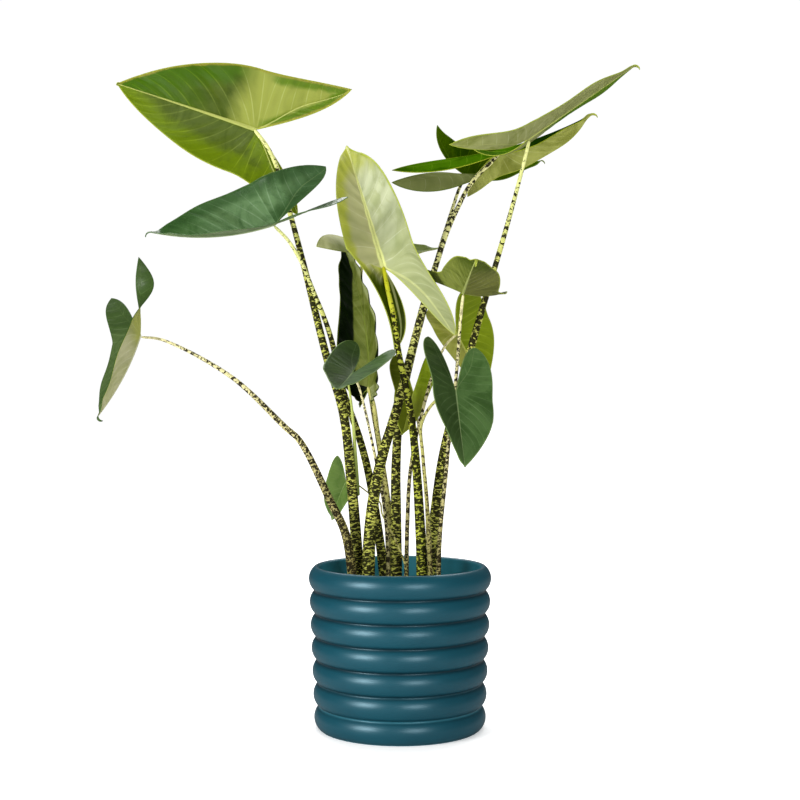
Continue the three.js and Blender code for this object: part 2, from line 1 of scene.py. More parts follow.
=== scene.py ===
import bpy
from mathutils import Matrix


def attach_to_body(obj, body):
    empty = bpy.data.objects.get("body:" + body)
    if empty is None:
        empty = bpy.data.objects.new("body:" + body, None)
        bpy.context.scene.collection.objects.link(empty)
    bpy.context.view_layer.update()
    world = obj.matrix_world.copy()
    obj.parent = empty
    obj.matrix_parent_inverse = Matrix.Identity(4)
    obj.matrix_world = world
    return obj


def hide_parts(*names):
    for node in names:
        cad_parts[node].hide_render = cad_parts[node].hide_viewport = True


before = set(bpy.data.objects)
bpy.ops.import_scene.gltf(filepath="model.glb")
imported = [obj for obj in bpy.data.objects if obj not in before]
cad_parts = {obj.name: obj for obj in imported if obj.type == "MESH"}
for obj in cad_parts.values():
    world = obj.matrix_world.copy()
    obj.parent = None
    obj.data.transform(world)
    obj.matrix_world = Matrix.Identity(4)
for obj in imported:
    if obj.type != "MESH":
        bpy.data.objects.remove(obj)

"""Looks of the potted zebrina alocasia: a ribbed pot of soil with fifteen leaves on mottled stalks.

Sizes are in millimetres until a mesh is made, and every mesh is in metres in the frame of the model.
"""

import logging
import math
from dataclasses import dataclass
from enum import Enum

import bmesh
import bpy
import numpy as np
from mathutils import Vector

log = logging.getLogger("alocasia")

Point = tuple[float, float, float]
Colour = tuple[float, float, float]
Array = np.ndarray
Piece = bpy.types.Object
Material = bpy.types.Material
Socket = bpy.types.NodeSocket
Value = Socket | float | tuple[float, ...]

MM = 0.001
WELD = 5e-7


@dataclass(frozen=True)
class Half:
    """One half of a blade. Width and lobe are shares of the midrib, and the angles are in degrees.

    Waist draws the edge in below the widest place, blunt rounds the end of the lobe, and belly moves the
    edge of the gap between the lobes inwards.
    """

    width: float
    fold: float
    curl: float
    lobe: float
    spread: float
    droop: float
    lobe_fold: float
    waist: float = 0.0
    blunt: float = 0.0
    belly: float = 0.0
    twist: float = 0.0


class BladeLook(Enum):
    """How a leaf is lit and aged in the photograph, which sets the colours of its two faces."""

    BACKLIT = "backlit"
    DARK_GLOSSY = "dark_glossy"
    FAR_LEFT = "far_left"
    CREAM_UNDER = "cream_under"
    OLIVE_UNDER = "olive_under"
    ROOF = "roof"
    DEEP_GREEN = "deep_green"
    HOOD = "hood"
    SHADED = "shaded"
    TWO_TONE = "two_tone"
    BLUE_GREEN = "blue_green"
    CUPPED = "cupped"
    LOBE_PAIR = "lobe_pair"
    LOW = "low"


class StalkLook(Enum):
    """The kinds of skin on the stalks."""

    ZEBRA = "zebra"
    YELLOW_TOP = "yellow_top"
    BARE_TOP = "bare_top"
    FINE = "fine"
    PALE = "pale"


@dataclass(frozen=True)
class Leaf:
    """Place and form of one leaf, as in the solid model, in millimetres and degrees.

    The stalk's points run down from the blade. Ripple is the height of a young blade's ripples, sweep the
    row value by which the side veins end further forward, and quilt the strength of the folds between them.
    """

    name: str
    attach: Point
    tip: Point
    roll: float
    arch: float
    hook: float
    drip: float
    right: Half
    left: Half
    stalk: tuple[Point, ...]
    stalk_radius: tuple[float, float]
    look: BladeLook
    skin: StalkLook
    tip_width: float = 0.012
    ripple: float = 0.0
    sweep: float = 0.0
    quilt: float = 1.0


LEAVES: tuple[Leaf, ...] = (
    Leaf("top_left", attach=(-189, 75, 766), tip=(-375, 111, 833), roll=83, arch=19, hook=150, drip=0.035,
         right=Half(0.32, 3, 29, 0.65, 43, -14, 8), left=Half(0.38, 7, 6, 0.7, 39, 10, 15),
         stalk=((-173, 65, 742), (-158, 55, 709), (-141, 38, 651), (-124, 25, 589), (-93, 10, 467),
                (-72, 4, 397), (-62, 4, 314), (-53, 10, 191), (-52, 12, 126)),
         stalk_radius=(2.4, 7.2), look=BladeLook.BACKLIT, skin=StalkLook.BARE_TOP),
    Leaf("upper_left", attach=(-151, -70, 626), tip=(-294, -109, 612),
         roll=-18, arch=-31, hook=100, drip=0.07,
         right=Half(0.39, 46, -21, 0.73, 37, 3, 18, blunt=0.35),
         left=Half(0.33, 21, 6, 0.69, 33, -17, 9, blunt=0.4),
         stalk=((-136, -64, 607), (-121, -50, 582), (-108, -26, 549), (-89, 18, 495), (-73, 22, 426),
                (-51, 24, 361), (-38, 28, 307), (-21, 35, 188), (-18, 36, 122)),
         stalk_radius=(1.9, 6.2), look=BladeLook.DARK_GLOSSY, skin=StalkLook.BARE_TOP),
    Leaf("far_left", attach=(-322, -30, 493), tip=(-360, -97, 395),
         roll=45, arch=-18, hook=140, drip=0.09, tip_width=0.03,
         right=Half(0.31, 37, -17, 0.78, 48, 7, 24, blunt=0.35),
         left=Half(0.32, 30, 7, 0.77, 37, 0, 39, twist=-150),
         stalk=((-294, -30, 487), (-209, -27, 441), (-143, -24, 379), (-125, -22, 362), (-86, -17, 284),
                (-69, -14, 247), (-60, -12, 194), (-57, -9, 130)),
         stalk_radius=(1.5, 6.0), look=BladeLook.FAR_LEFT, skin=StalkLook.FINE),
    Leaf("centre", attach=(-20, -40, 575), tip=(-68, 46, 737), roll=154, arch=-5, hook=20, drip=0.02,
         right=Half(0.31, -31, 25, 0.55, 6, -46, -6, waist=0.9, blunt=0.3, belly=0.12),
         left=Half(0.37, -38, 45, 0.64, 34, -52, 18, blunt=0.2, belly=-0.1),
         stalk=((-15, -58, 548), (-7, -60, 511), (-2, -50, 474), (15, -31, 383), (26, -20, 238),
                (29, -16, 131)),
         stalk_radius=(2.4, 7.0), look=BladeLook.CREAM_UNDER, skin=StalkLook.YELLOW_TOP,
         sweep=-0.24, quilt=3.0),
    Leaf("top_right", attach=(155, -60, 730), tip=(285, -48, 821),
         roll=-16, arch=0, hook=120, drip=0.07, tip_width=0.02,
         right=Half(0.32, -6, -5, 0.69, 42, 22, 40), left=Half(0.33, 4, -21, 0.56, 43, -23, 39),
         stalk=((149, -56, 694), (135, -48, 640), (119, -36, 583), (103, -28, 529), (88, -22, 476),
                (71, -13, 413), (55, -3, 344), (47, 6, 286), (38, 14, 191), (37, 16, 126)),
         stalk_radius=(2.0, 7.6), look=BladeLook.OLIVE_UNDER, skin=StalkLook.BARE_TOP),
    Leaf("right", attach=(128, 48, 735), tip=(246, 46, 780),
         roll=-21, arch=-16, hook=110, drip=0.09, tip_width=0.02,
         right=Half(0.4, -27, 20, 1.08, 30, -34, -37), left=Half(0.31, -17, 13, 0.65, 47, 11, -10),
         stalk=((117, 47, 718), (104, 46, 706), (88, 44, 686), (76, 41, 663), (61, 35, 630), (46, 25, 585),
                (30, 13, 533), (15, 0, 475), (-5, -17, 398), (-20, -24, 350), (-31, -29, 301),
                (-38, -30, 239), (-39, -24, 132)),
         stalk_radius=(2.2, 7.8), look=BladeLook.ROOF, skin=StalkLook.ZEBRA),
    Leaf("right_back", attach=(85, 118, 714), tip=(195, 187, 743), roll=-2, arch=-18, hook=90, drip=0.07,
         right=Half(0.26, -1, 43, 0.92, 28, -33, -31), left=Half(0.36, 59, -32, 0.62, 53, -34, 53),
         stalk=((78, 116, 691), (67, 106, 657), (54, 88, 615), (35, 68, 543), (17, 49, 476), (0, 33, 399),
                (-5, 24, 330), (-5, 20, 259), (-4, 18, 125)),
         stalk_radius=(2.0, 7.2), look=BladeLook.DEEP_GREEN, skin=StalkLook.ZEBRA),
    Leaf("centre_back", attach=(-49, 60, 612), tip=(53, 130, 617), roll=-5, arch=-27, hook=50, drip=0.05,
         right=Half(0.33, 5, 50, 1.06, 35, 14, 24), left=Half(0.33, 40, -13, 0.44, 44, -42, 64),
         stalk=((-51, 58, 568), (-49, 54, 503), (-40, 48, 431), (-21, 50, 311), (-13, 55, 230),
                (-9, 60, 118)),
         stalk_radius=(1.8, 4.2), look=BladeLook.HOOD, skin=StalkLook.PALE),
    Leaf("young_back", attach=(-39, 24, 428), tip=(-72, 28, 610), roll=39, arch=27, hook=20, drip=0.02,
         right=Half(0.22, -32, 34, 0.16, 35, 12, 1, waist=0.3),
         left=Half(0.21, 10, 51, 0.15, 33, 16, -1, waist=0.25),
         stalk=((-34, 24, 407), (-29, 25, 374), (-15, 36, 277), (-8, 42, 187), (-6, 43, 121)),
         stalk_radius=(2.6, 4.4), look=BladeLook.SHADED, skin=StalkLook.PALE, ripple=1.6),
    Leaf("inner_right", attach=(72, 34, 499), tip=(111, 91, 425), roll=-26, arch=18, hook=20, drip=0.02,
         right=Half(0.45, 25, 13, 0.73, 32, 14, 17, blunt=0.7),
         left=Half(0.34, 37, 12, 0.53, 18, 6, 22, blunt=0.7),
         stalk=((59, 27, 483), (40, -14, 442), (30, -15, 406), (14, -12, 332), (9, -3, 249), (8, -2, 129)),
         stalk_radius=(1.5, 3.0), look=BladeLook.TWO_TONE, skin=StalkLook.FINE),
    Leaf("heart_right", attach=(66, -110, 423), tip=(74, -172, 339), roll=-22, arch=-3, hook=20, drip=0.02,
         right=Half(0.39, 20, 5, 0.74, 26, 12, 17, blunt=0.8),
         left=Half(0.45, 12, 7, 0.71, 26, 7, 24, blunt=0.8),
         stalk=((56, -96, 420), (39, -78, 408), (26, -62, 383), (28, -50, 345), (33, -40, 289),
                (37, -35, 215), (38, -33, 134)),
         stalk_radius=(1.6, 3.2), look=BladeLook.BLUE_GREEN, skin=StalkLook.PALE),
    Leaf("cupped_right", attach=(75, -102, 540), tip=(84, -220, 570), roll=-5, arch=5, hook=200, drip=0.12,
         right=Half(0.29, 37, -4, 0.61, 65, 8, 19), left=Half(0.34, 13, 8, 0.6, 58, 2, 40, blunt=0.1),
         stalk=((73, -97, 519), (67, -72, 431), (62, -57, 388), (57, -45, 327), (49, -36, 240),
                (47, -32, 134)),
         stalk_radius=(1.7, 3.0), look=BladeLook.CUPPED, skin=StalkLook.FINE),
    Leaf("small_inner", attach=(17, 14, 422), tip=(3, 8, 369), roll=-30, arch=-6, hook=20, drip=0.02,
         right=Half(0.42, 26, -5, 0.97, 42, 12, 20, blunt=0.8),
         left=Half(0.35, -10, 20, 0.99, 18, -5, 16, blunt=0.8),
         stalk=((18, 15, 410), (27, 17, 361), (34, 5, 273), (35, -1, 128)),
         stalk_radius=(1.5, 2.6), look=BladeLook.LOBE_PAIR, skin=StalkLook.FINE),
    Leaf("small_front", attach=(-58, -75, 445), tip=(-72, -176, 427),
         roll=-16, arch=-10, hook=30, drip=0.02,
         right=Half(0.33, 18, 8, 0.74, 12, -20, 29, blunt=0.8),
         left=Half(0.33, 30, 1, 0.71, 35, -6, 36, blunt=0.8),
         stalk=((-52, -67, 434), (-31, -16, 341), (-18, -8, 262), (-14, -8, 130)),
         stalk_radius=(1.3, 2.6), look=BladeLook.BLUE_GREEN, skin=StalkLook.FINE),
    Leaf("small_low", attach=(-70, 51, 306), tip=(-90, 85, 254), roll=-101, arch=11, hook=20, drip=0.02,
         right=Half(0.37, 40, -2, 0.57, 42, -3, 26, blunt=0.5),
         left=Half(0.33, 12, -5, 0.65, 34, -4, 52, blunt=0.5),
         stalk=((-61, 51, 305), (-40, 48, 291), (-26, 40, 280), (-23, 24, 267), (-14, 2, 251),
                (-5, -9, 235), (8, -14, 199), (10, -14, 131)),
         stalk_radius=(0.9, 1.3), look=BladeLook.LOW, skin=StalkLook.PALE),
)


# Meshes from numpy arrays


def build_mesh(name: str, points: Array, faces: Array, finishes: list[Material],
               slots: Array | None = None, fields: dict[str, Array] | None = None) -> Piece:
    """Makes a smooth mesh object at the origin from whole arrays and welds its doubled points.

    Args:
        name: name of the object.
        points: places in millimetres, in an array of any shape that ends in three.
        faces: M by 4 array of corner numbers, anticlockwise seen from outside.
        finishes: materials in the order of their slots.
        slots: M numbers that give each face its material slot.
        fields: vector values of the points, in the same order, by attribute name.

    Returns:
        The linked mesh object.
    """
    places = np.asarray(points, float).reshape(-1, 3) * MM
    mesh = bpy.data.meshes.new(name)
    mesh.vertices.add(len(places))
    mesh.vertices.foreach_set("co", places.astype(np.float32).ravel())
    mesh.loops.add(faces.size)
    mesh.loops.foreach_set("vertex_index", faces.astype(np.int32).ravel())
    mesh.polygons.add(len(faces))
    mesh.polygons.foreach_set("loop_start", np.arange(0, faces.size, 4, dtype=np.int32))
    mesh.polygons.foreach_set("loop_total", np.full(len(faces), 4, np.int32))
    if slots is not None:
        mesh.polygons.foreach_set("material_index", slots.astype(np.int32))
    for key, values in (fields or {}).items():
        attribute = mesh.attributes.new(key, "FLOAT_VECTOR", "POINT")
        attribute.data.foreach_set("vector", np.asarray(values, np.float32).ravel())
    mesh.update(calc_edges=True)
    for finish in finishes:
        mesh.materials.append(finish)
    work = bmesh.new()
    work.from_mesh(mesh)
    bmesh.ops.remove_doubles(work, verts=work.verts, dist=WELD)
    bmesh.ops.dissolve_degenerate(work, edges=work.edges, dist=WELD / 5)
    bmesh.ops.recalc_face_normals(work, faces=work.faces)
    work.to_mesh(mesh)
    work.free()
    mesh.polygons.foreach_set("use_smooth", np.ones(len(mesh.polygons), bool))
    mesh.update()
    piece = bpy.data.objects.new(name, mesh)
    bpy.context.scene.collection.objects.link(piece)
    return piece


def grid_faces(rows: int, columns: int, first: int = 0, wrap: bool = False, flip: bool = False) -> Array:
    """Corner numbers of the quads of a grid whose points are stored row by row.

    Args:
        rows: number of rows of points.
        columns: number of points in a row.
        first: number of the first point.
        wrap: whether the last column joins the first.
        flip: whether the quads face the other way.

    Returns:
        M by 4 array of corner numbers.
    """
    i, j = np.meshgrid(np.arange(rows - 1), np.arange(columns if wrap else columns - 1), indexing="ij")
    k = (j + 1) % columns
    quads = np.stack([i * columns + j, (i + 1) * columns + j, (i + 1) * columns + k, i * columns + k], -1)
    quads = quads.reshape(-1, 4) + first
    return quads[:, ::-1] if flip else quads


def full_turn(count: int) -> Array:
    """Equal steps of angle round a whole turn."""
    return np.linspace(0.0, 2 * math.pi, count, endpoint=False)


def around(radius: Array, angle: Array, height: Array) -> Array:
    """Points about the Z axis, (r cos a, r sin a, height), with the three shapes broadcast together."""
    return np.stack(np.broadcast_arrays(radius * np.cos(angle), radius * np.sin(angle), height), -1)


def unit(vectors: Array) -> Array:
    """Vectors along the last axis, each divided by its length."""
    return vectors / np.maximum(np.linalg.norm(vectors, axis=-1, keepdims=True), 1e-12)


def ease(value: Array, low: float, high: float) -> Array:
    """Smooth step: 0 below low, 1 above high, 3t^2 - 2t^3 between them."""
    t = np.clip((value - low) / (high - low), 0.0, 1.0)
    return t * t * (3.0 - 2.0 * t)


def cubic(a: Array, b: Array, c: Array, d: Array, t: Array) -> Array:
    """Bezier curve: a(1-t)^3 + 3b t(1-t)^2 + 3c t^2(1-t) + d t^3 at each t."""
    t = t[:, None]
    return a * (1 - t) ** 3 + 3 * b * t * (1 - t) ** 2 + 3 * c * t * t * (1 - t) + d * t ** 3


def bent_arc(start: Array, bend: Array, distance: Array) -> tuple[Array, Array, Array]:
    """Follows a circular arc: the angle falls by bend times the distance from its start angle.

    Args:
        start: angle at the start, in radians.
        bend: fall of the angle for each millimetre.
        distance: length along the arc.

    Returns:
        Reach along the start line, rise from it, and the angle there.
    """
    straight = 1e-7
    k = np.where(np.abs(bend) < straight, straight, bend)
    angle = start - k * distance
    return (np.sin(start) - np.sin(angle)) / k, (np.cos(angle) - np.cos(start)) / k, angle


def smooth_route(points: Array, count: int) -> tuple[Array, Array]:
    """Centripetal Catmull-Rom curve through points, at equal steps of its length.

    Each span is a cubic whose end slopes weigh the neighbouring chords by the square roots of their
    lengths. The curve is sampled finely and read back at equal lengths.

    Args:
        points: K by 3 array of places.
        count: number of points wanted.

    Returns:
        The count by 3 points, and the length along the curve at each.
    """
    steps_in_span = 60
    ghosts = np.vstack([2 * points[0] - points[1], points, 2 * points[-1] - points[-2]])
    t = np.linspace(0.0, 1.0, steps_in_span, endpoint=False)[:, None]
    spans = []
    for k in range(len(points) - 1):
        p0, p1, p2, p3 = ghosts[k:k + 4]
        d0, d1, d2 = np.sqrt(np.linalg.norm(np.diff(ghosts[k:k + 4], axis=0), axis=1))
        m1 = ((p1 - p0) / d0 - (p2 - p0) / (d0 + d1) + (p2 - p1) / d1) * d1
        m2 = ((p2 - p1) / d1 - (p3 - p1) / (d1 + d2) + (p3 - p2) / d2) * d1
        rise = p2 - p1
        spans.append(p1 + m1 * t + (3 * rise - 2 * m1 - m2) * t ** 2 + (m1 + m2 - 2 * rise) * t ** 3)
    fine = np.vstack(spans + [points[-1:]])
    length = np.concatenate([[0.0], np.cumsum(np.linalg.norm(np.diff(fine, axis=0), axis=1))])
    wanted = np.linspace(0.0, length[-1], count)
    return np.stack([np.interp(wanted, length, fine[:, axis]) for axis in range(3)], -1), wanted


def tube(route: Array, length: Array, radius: Array, sides: int) -> tuple[Array, Array, Array]:
    """Round tube carried along a route and closed at both ends by shrinking its end rings to points.

    A point lies at centre + r (across cos a + back sin a), where across is square to the route and to Y.

    Args:
        route: centres of the rings.
        length: length along the route at each ring.
        radius: radius of each ring.
        sides: number of points round a ring.

    Returns:
        Grid of points, quads, and the skin value of each point (r cos a, r sin a, length).
    """
    tangent = unit(np.gradient(route, axis=0))
    across = unit(np.cross(tangent, np.array([0.0, 1.0, 0.0])))
    back = np.cross(across, tangent)
    angle = full_turn(sides)
    closed = radius.copy()
    closed[0] = closed[-1] = 0.0
    ring = across[:, None] * np.cos(angle)[:, None] + back[:, None] * np.sin(angle)[:, None]
    points = route[:, None] + closed[:, None, None] * ring
    skin = around(radius[:, None], angle, length[:, None])
    return points, grid_faces(len(route), sides, wrap=True), skin


# Leaf blades


@dataclass(frozen=True)
class BladeForm:
    """Sizes that all blades share, in millimetres or in shares of the midrib's length.

    A row value tells how far a row of the grid is from the drip tip: 0 at the end of the drip tip, tip_row
    where the blade starts to widen, stalk_row at the stalk and 1 at the end of the lobe. The costa is the
    rib of a lobe: it leaves the midrib's line and runs costa_share of the way across the lobe. A rib stands
    out by a bell curve that is rib_bell of its half width wide, and a costa ends costa_fade from the edge.
    """

    thickness: float = 0.9
    hook_rows: int = 12
    main_rows: int = 84
    lobe_rows: int = 46
    columns: int = 30
    tip_row: float = 0.08
    stalk_row: float = 0.62
    crowding: float = 1.5
    even_from: float = 0.8
    widest_at: float = 0.08
    tip_flat: float = 0.14
    waves: float = 3.0
    wave_height: float = 0.012
    twist_share: float = 0.25
    costa_share: float = 0.30
    costa_full: float = 0.84
    costa_turn: float = 0.9
    costa_loss: float = 0.3
    quilting: float = 0.010
    quilt_pitch: float = 30.0
    ripples: float = 11.0
    rib_half_width: float = 0.0125
    rib_height: float = 0.75
    rib_bell: float = 0.8
    rib_thinning: float = 0.78
    costa_thinning: float = 0.75
    costa_fade: float = 3.0

    @property
    def origin(self) -> int:
        """Number of the row at the stalk."""
        return self.hook_rows + self.main_rows

    @property
    def middle(self) -> int:
        """Number of the column halfway across."""
        return self.columns // 2


FORM = BladeForm()


@dataclass
class HalfSheet:
    """One half of a blade on its grid: rows run from the drip tip to the lobe, columns to the edge.

    Veins holds the vein number, the distance between veins and the distance from the rib in half widths.
    Place holds the flat place on the blade, with the half's sign, and the distance from the edge.
    """

    side: int
    points: Array
    normals: Array
    rib: Array
    rib_half: Array
    veins: Array
    place: Array


@dataclass
class Patch:
    """A grid of the blade's skin with the fields of its points, its material slot and its winding."""

    points: Array
    veins: Array
    place: Array
    slot: int
    flip: bool


class Blade:
    """Both halves of a leaf's blade, thickened to a closed skin with a ribbed underside."""

    def __init__(self, leaf: Leaf) -> None:
        """Works out the leaf's frame: forward along the midrib, up out of its upper face, and right."""
        self.leaf = leaf
        self.attach = np.array(leaf.attach, float)
        chord = np.array(leaf.tip, float) - self.attach
        self.forward = unit(chord)
        level = unit(np.array([0.0, 0.0, 1.0]) - self.forward[2] * self.forward)
        roll = math.radians(leaf.roll)
        self.up = math.cos(roll) * level + math.sin(roll) * np.cross(self.forward, level)
        self.right = np.cross(self.forward, self.up)
        self.arch = math.radians(leaf.arch) or 1e-3
        self.length = float(np.linalg.norm(chord)) * (self.arch / 2) / math.sin(self.arch / 2)

    def outline(self, half: Half) -> tuple[Array, Array, Array]:
        """Flat inner line and outer edge of one half, in shares of the midrib.

        The edge is a rounded point, a Bezier curve from the tip to the widest place, and a second one to
        the end of the lobe. The inner line is the midrib, then the edge of the gap between the lobes.

        Args:
            half: the half's sizes.

        Returns:
            Inner points, outer points, and the row value that the waves and veins follow.
        """
        spread, blunt = math.radians(half.spread), half.blunt
        along = np.array([math.sin(spread), -math.cos(spread)]) * half.lobe
        across = np.array([math.cos(spread), math.sin(spread)]) * half.lobe
        waist = half.waist * half.width
        tip = np.array([self.leaf.tip_width, 1.0])
        after_tip = np.array([0.1, 0.9])
        before_widest = np.array([half.width, 0.52])
        widest = np.array([half.width, FORM.widest_at])
        after_widest = widest - np.array([waist, 0.16])
        before_end = (0.7 + 0.3 * blunt) * along + (0.2 + 0.2 * blunt) * across - np.array([waist / 2, 0.0])
        gap_start = 0.3 * along - (0.05 + half.belly) * across
        gap_end = (0.72 + 0.28 * blunt) * along - (0.14 + 0.1 * blunt + half.belly) * across
        hook = np.linspace(0.0, 1.0, FORM.hook_rows, endpoint=False)
        main = np.linspace(0.0, 1.0, FORM.main_rows + 1)
        lobe = np.linspace(0.0, 1.0, FORM.lobe_rows + 1)[1:]
        hook_y = 1 + self.leaf.drip * (1 - hook)
        inner = np.vstack([np.stack([0 * hook, hook_y], -1), np.stack([0 * main, 1 - main], -1),
                           cubic(np.zeros(2), gap_start, gap_end, along, lobe)])
        outer = np.vstack([np.stack([self.leaf.tip_width * hook ** 0.55, hook_y], -1),
                           cubic(tip, after_tip, before_widest, widest, main),
                           cubic(widest, after_widest, before_end, along, lobe)])
        row = np.concatenate([FORM.tip_row * hook, FORM.tip_row + (FORM.stalk_row - FORM.tip_row) * main,
                              FORM.stalk_row + (1 - FORM.stalk_row) * lobe])
        return inner, outer, row

    def bend(self, half: Half, side: int, flat: Array, share: Array, row: Array) -> Array:
        """Places flat points on the bent blade.

        The midrib is a circular arc with a tighter one at the drip tip, and each lobe follows its own arc.
        Across the midrib each half rises by its fold and rolls by its curl, and the edge waves by a sine.

        Args:
            half: the half's sizes.
            side: 1 for the right half and -1 for the left.
            flat: flat points in shares of the midrib.
            share: 0 on the inner line to 1 at the edge.
            row: row value of each point.

        Returns:
            Places in millimetres.
        """
        x, y = flat[..., 0] * self.length, flat[..., 1] * self.length
        lobe_length = half.lobe * self.length
        past, ahead = np.maximum(-y, 0.0), np.clip(y, 0.0, self.length)
        hooked = np.maximum(y - self.length, 0.0)
        start = self.arch / 2
        hook_bend = math.radians(self.leaf.hook) / (self.leaf.drip * self.length)
        reach_m, rise_m, angle_m = bent_arc(start, self.arch / self.length, ahead)
        reach_d, rise_d, angle_d = bent_arc(start, -math.radians(half.droop) / lobe_length, past)
        reach_h, rise_h, angle_h = bent_arc(-start, hook_bend, hooked)
        angle = angle_m + angle_d + angle_h
        lobe_share = ease(past, 0.0, lobe_length)
        fold = np.radians(half.fold + (half.lobe_fold - half.fold) * lobe_share)
        fold = fold * ease(1 - flat[..., 1], 0.0, FORM.tip_flat)
        reach_x, rise_x, _ = bent_arc(fold, math.radians(half.curl) / (half.width * self.length), x)
        wave = np.sin(2 * math.pi * FORM.waves * row + side) * np.sin(math.pi * row)
        lift = rise_x + FORM.wave_height * self.length * share ** 2 * wave
        return (self.attach + side * reach_x[..., None] * self.right
                + (reach_m - reach_d + reach_h - lift * np.sin(angle))[..., None] * self.forward
                + (rise_m - rise_d + rise_h + lift * np.cos(angle))[..., None] * self.up)

    def twisted(self, half: Half, side: int, points: Array, inner: Array, outer: Array, row: Array) -> Array:
        """Turns each row of a lobe about the lobe's rib, by an angle that grows to its full twist at the end.

        A point p turns about the line from the stalk to the lobe's end: with d = p - rib point and axis a,
        it moves to rib point + d cos w + (a x d) sin w + a (a . d)(1 - cos w).

        Args:
            half: the half's sizes.
            side: 1 for the right half and -1 for the left.
            points: grid of places.
            inner: flat inner line.
            outer: flat outer edge.
            row: row value of each row.

        Returns:
            The turned grid.
        """
        if not half.twist:
            return points
        flat = inner + (outer - inner) * FORM.twist_share
        rib = self.bend(half, side, flat, np.full(len(row), FORM.twist_share), row)[:, None]
        axis = unit(points[-1, 0] - self.attach)
        angle = side * math.radians(half.twist) * ease(-flat[:, 1], 0.0, half.lobe)
        cosine, sine = np.cos(angle)[:, None, None], np.sin(angle)[:, None, None]
        offset = points - rib
        along = (offset @ axis)[..., None] * axis
        return rib + offset * cosine + np.cross(axis, offset) * sine + along * (1 - cosine)

    def vein_number(self, share: Array, row: Array) -> Array:
        """Number of side veins passed from the tip, which is whole on each vein.

        Vein s runs from row a(s) on the midrib or lobe rib to row b(s) at the edge, on the curve
        a + (b - a)(0.7 t + 0.3 t^3). The table of rows is read backwards for each column.

        Args:
            share: distance from the rib towards the edge, 0 to 1.
            row: row value.

        Returns:
            The vein number at each point.
        """
        sweep = self.leaf.sweep
        knots = np.array([-0.5, 0.0, 8.0, 11.0, 17.0, 17.5])
        starts = np.array([0.06, 0.12, 0.600, 0.640, 0.985, 1.02])
        ends = np.array([0.00, 0.04, 0.470 - sweep, 0.715 - sweep / 2, 0.995, 1.03])
        number = np.linspace(knots[0], knots[-1], 721)
        start, end = np.interp(number, knots, starts), np.interp(number, knots, ends)
        levels, rows = np.linspace(0.0, 1.0, 49), np.linspace(0.0, 1.0, 401)
        table = np.stack([np.interp(rows, start + (end - start) * (0.7 * t + 0.3 * t ** 3), number)
                          for t in levels])
        a, b = np.clip(share, 0, 1) * (len(levels) - 1), np.clip(row, 0, 1) * (len(rows) - 1)
        i, j = np.minimum(a.astype(int), len(levels) - 2), np.minimum(b.astype(int), len(rows) - 2)
        p, q = a - i, b - j
        return ((table[i, j] * (1 - q) + table[i, j + 1] * q) * (1 - p)
                + (table[i + 1, j] * (1 - q) + table[i + 1, j + 1] * q) * p)

    def half_sheet(self, half: Half, side: int) -> HalfSheet:
        """Middle surface of one half with its normals, rib distance and vein values.

        The columns crowd towards the midrib and are even on the lobe. A rib is thickest at the stalk and
        thins towards the tip and the lobe's end.

        Args:
            half: the half's sizes.
            side: 1 for the right half and -1 for the left.

        Returns:
            The half as a grid.
        """
        inner, outer, line = self.outline(half)
        row = line[:, None]
        columns = np.linspace(0.0, 1.0, FORM.columns + 1)
        lobed = ease(row, FORM.stalk_row, FORM.even_from)
        share = columns ** FORM.crowding * (1 - lobed) + columns * lobed
        row_grid = np.broadcast_to(row, share.shape)
        flat = inner[:, None] * (1 - share[..., None]) + outer[:, None] * share[..., None]
        points = self.bend(half, side, flat, share, row_grid)
        points = self.twisted(half, side, points, inner, outer, line)
        width = np.linalg.norm(outer - inner, axis=1)[:, None] * self.length
        costa = FORM.costa_share * ease(row, FORM.stalk_row, FORM.costa_full)
        costa = costa * (1 - FORM.costa_loss * ease(row, FORM.costa_turn, 1.0))
        rib = (share - costa) * width
        to_tip, to_end = 1 - row / FORM.stalk_row, (row - FORM.stalk_row) / (1 - FORM.stalk_row)
        thin = np.where(row < FORM.stalk_row, FORM.rib_thinning * to_tip, FORM.costa_thinning * to_end)
        rib_half = np.broadcast_to(FORM.rib_half_width * self.length * (1 - thin), share.shape)
        outside = rib >= 0
        beyond = np.where(outside, (share - costa) / (1 - costa), (costa - share) / np.maximum(costa, 1e-3))
        number = self.vein_number(beyond, np.where(outside, row_grid, row_grid - 0.02 * beyond))
        from_gap = np.where(row > FORM.stalk_row, share * width, np.inf)
        edge = np.minimum((1 - share) * width, from_gap)
        pitch = self.pitch(points, number)
        ripple = np.sin(2 * math.pi * FORM.ripples * row_grid + 2 * share)
        shift = self.quilting(number, pitch, rib, edge) + self.leaf.ripple * share * ripple
        points = points + self.normals(points, side) * shift[..., None]
        veins = np.stack([number, pitch, rib / rib_half], -1)
        past_stalk = np.arange(len(row))[:, None] > FORM.origin
        aside = np.abs(flat[..., 0]) * self.length + past_stalk
        place = np.stack([side * aside, flat[..., 1] * self.length, edge], -1)
        return HalfSheet(side, points, self.normals(points, side), rib, rib_half, veins, place)

    def quilting(self, number: Array, pitch: Array, rib: Array, edge: Array) -> Array:
        """Soft folds between the side veins: - quilting x pitch x cos(2 pi n) at vein number n.

        They are calmed near the ribs and edges, and where the veins crowd.

        Args:
            number: vein number of each point.
            pitch: distance between veins.
            rib: distance from the rib.
            edge: distance from the edge.

        Returns:
            Height of the surface over its smooth form.
        """
        calm = ease(np.abs(rib), 0.5, 7.0) * ease(edge, 0.0, 8.0) * ease(pitch, 3.0, 9.0)
        size = FORM.quilting * self.leaf.quilt * np.minimum(pitch, FORM.quilt_pitch)
        return -size * np.cos(2 * math.pi * number) * calm

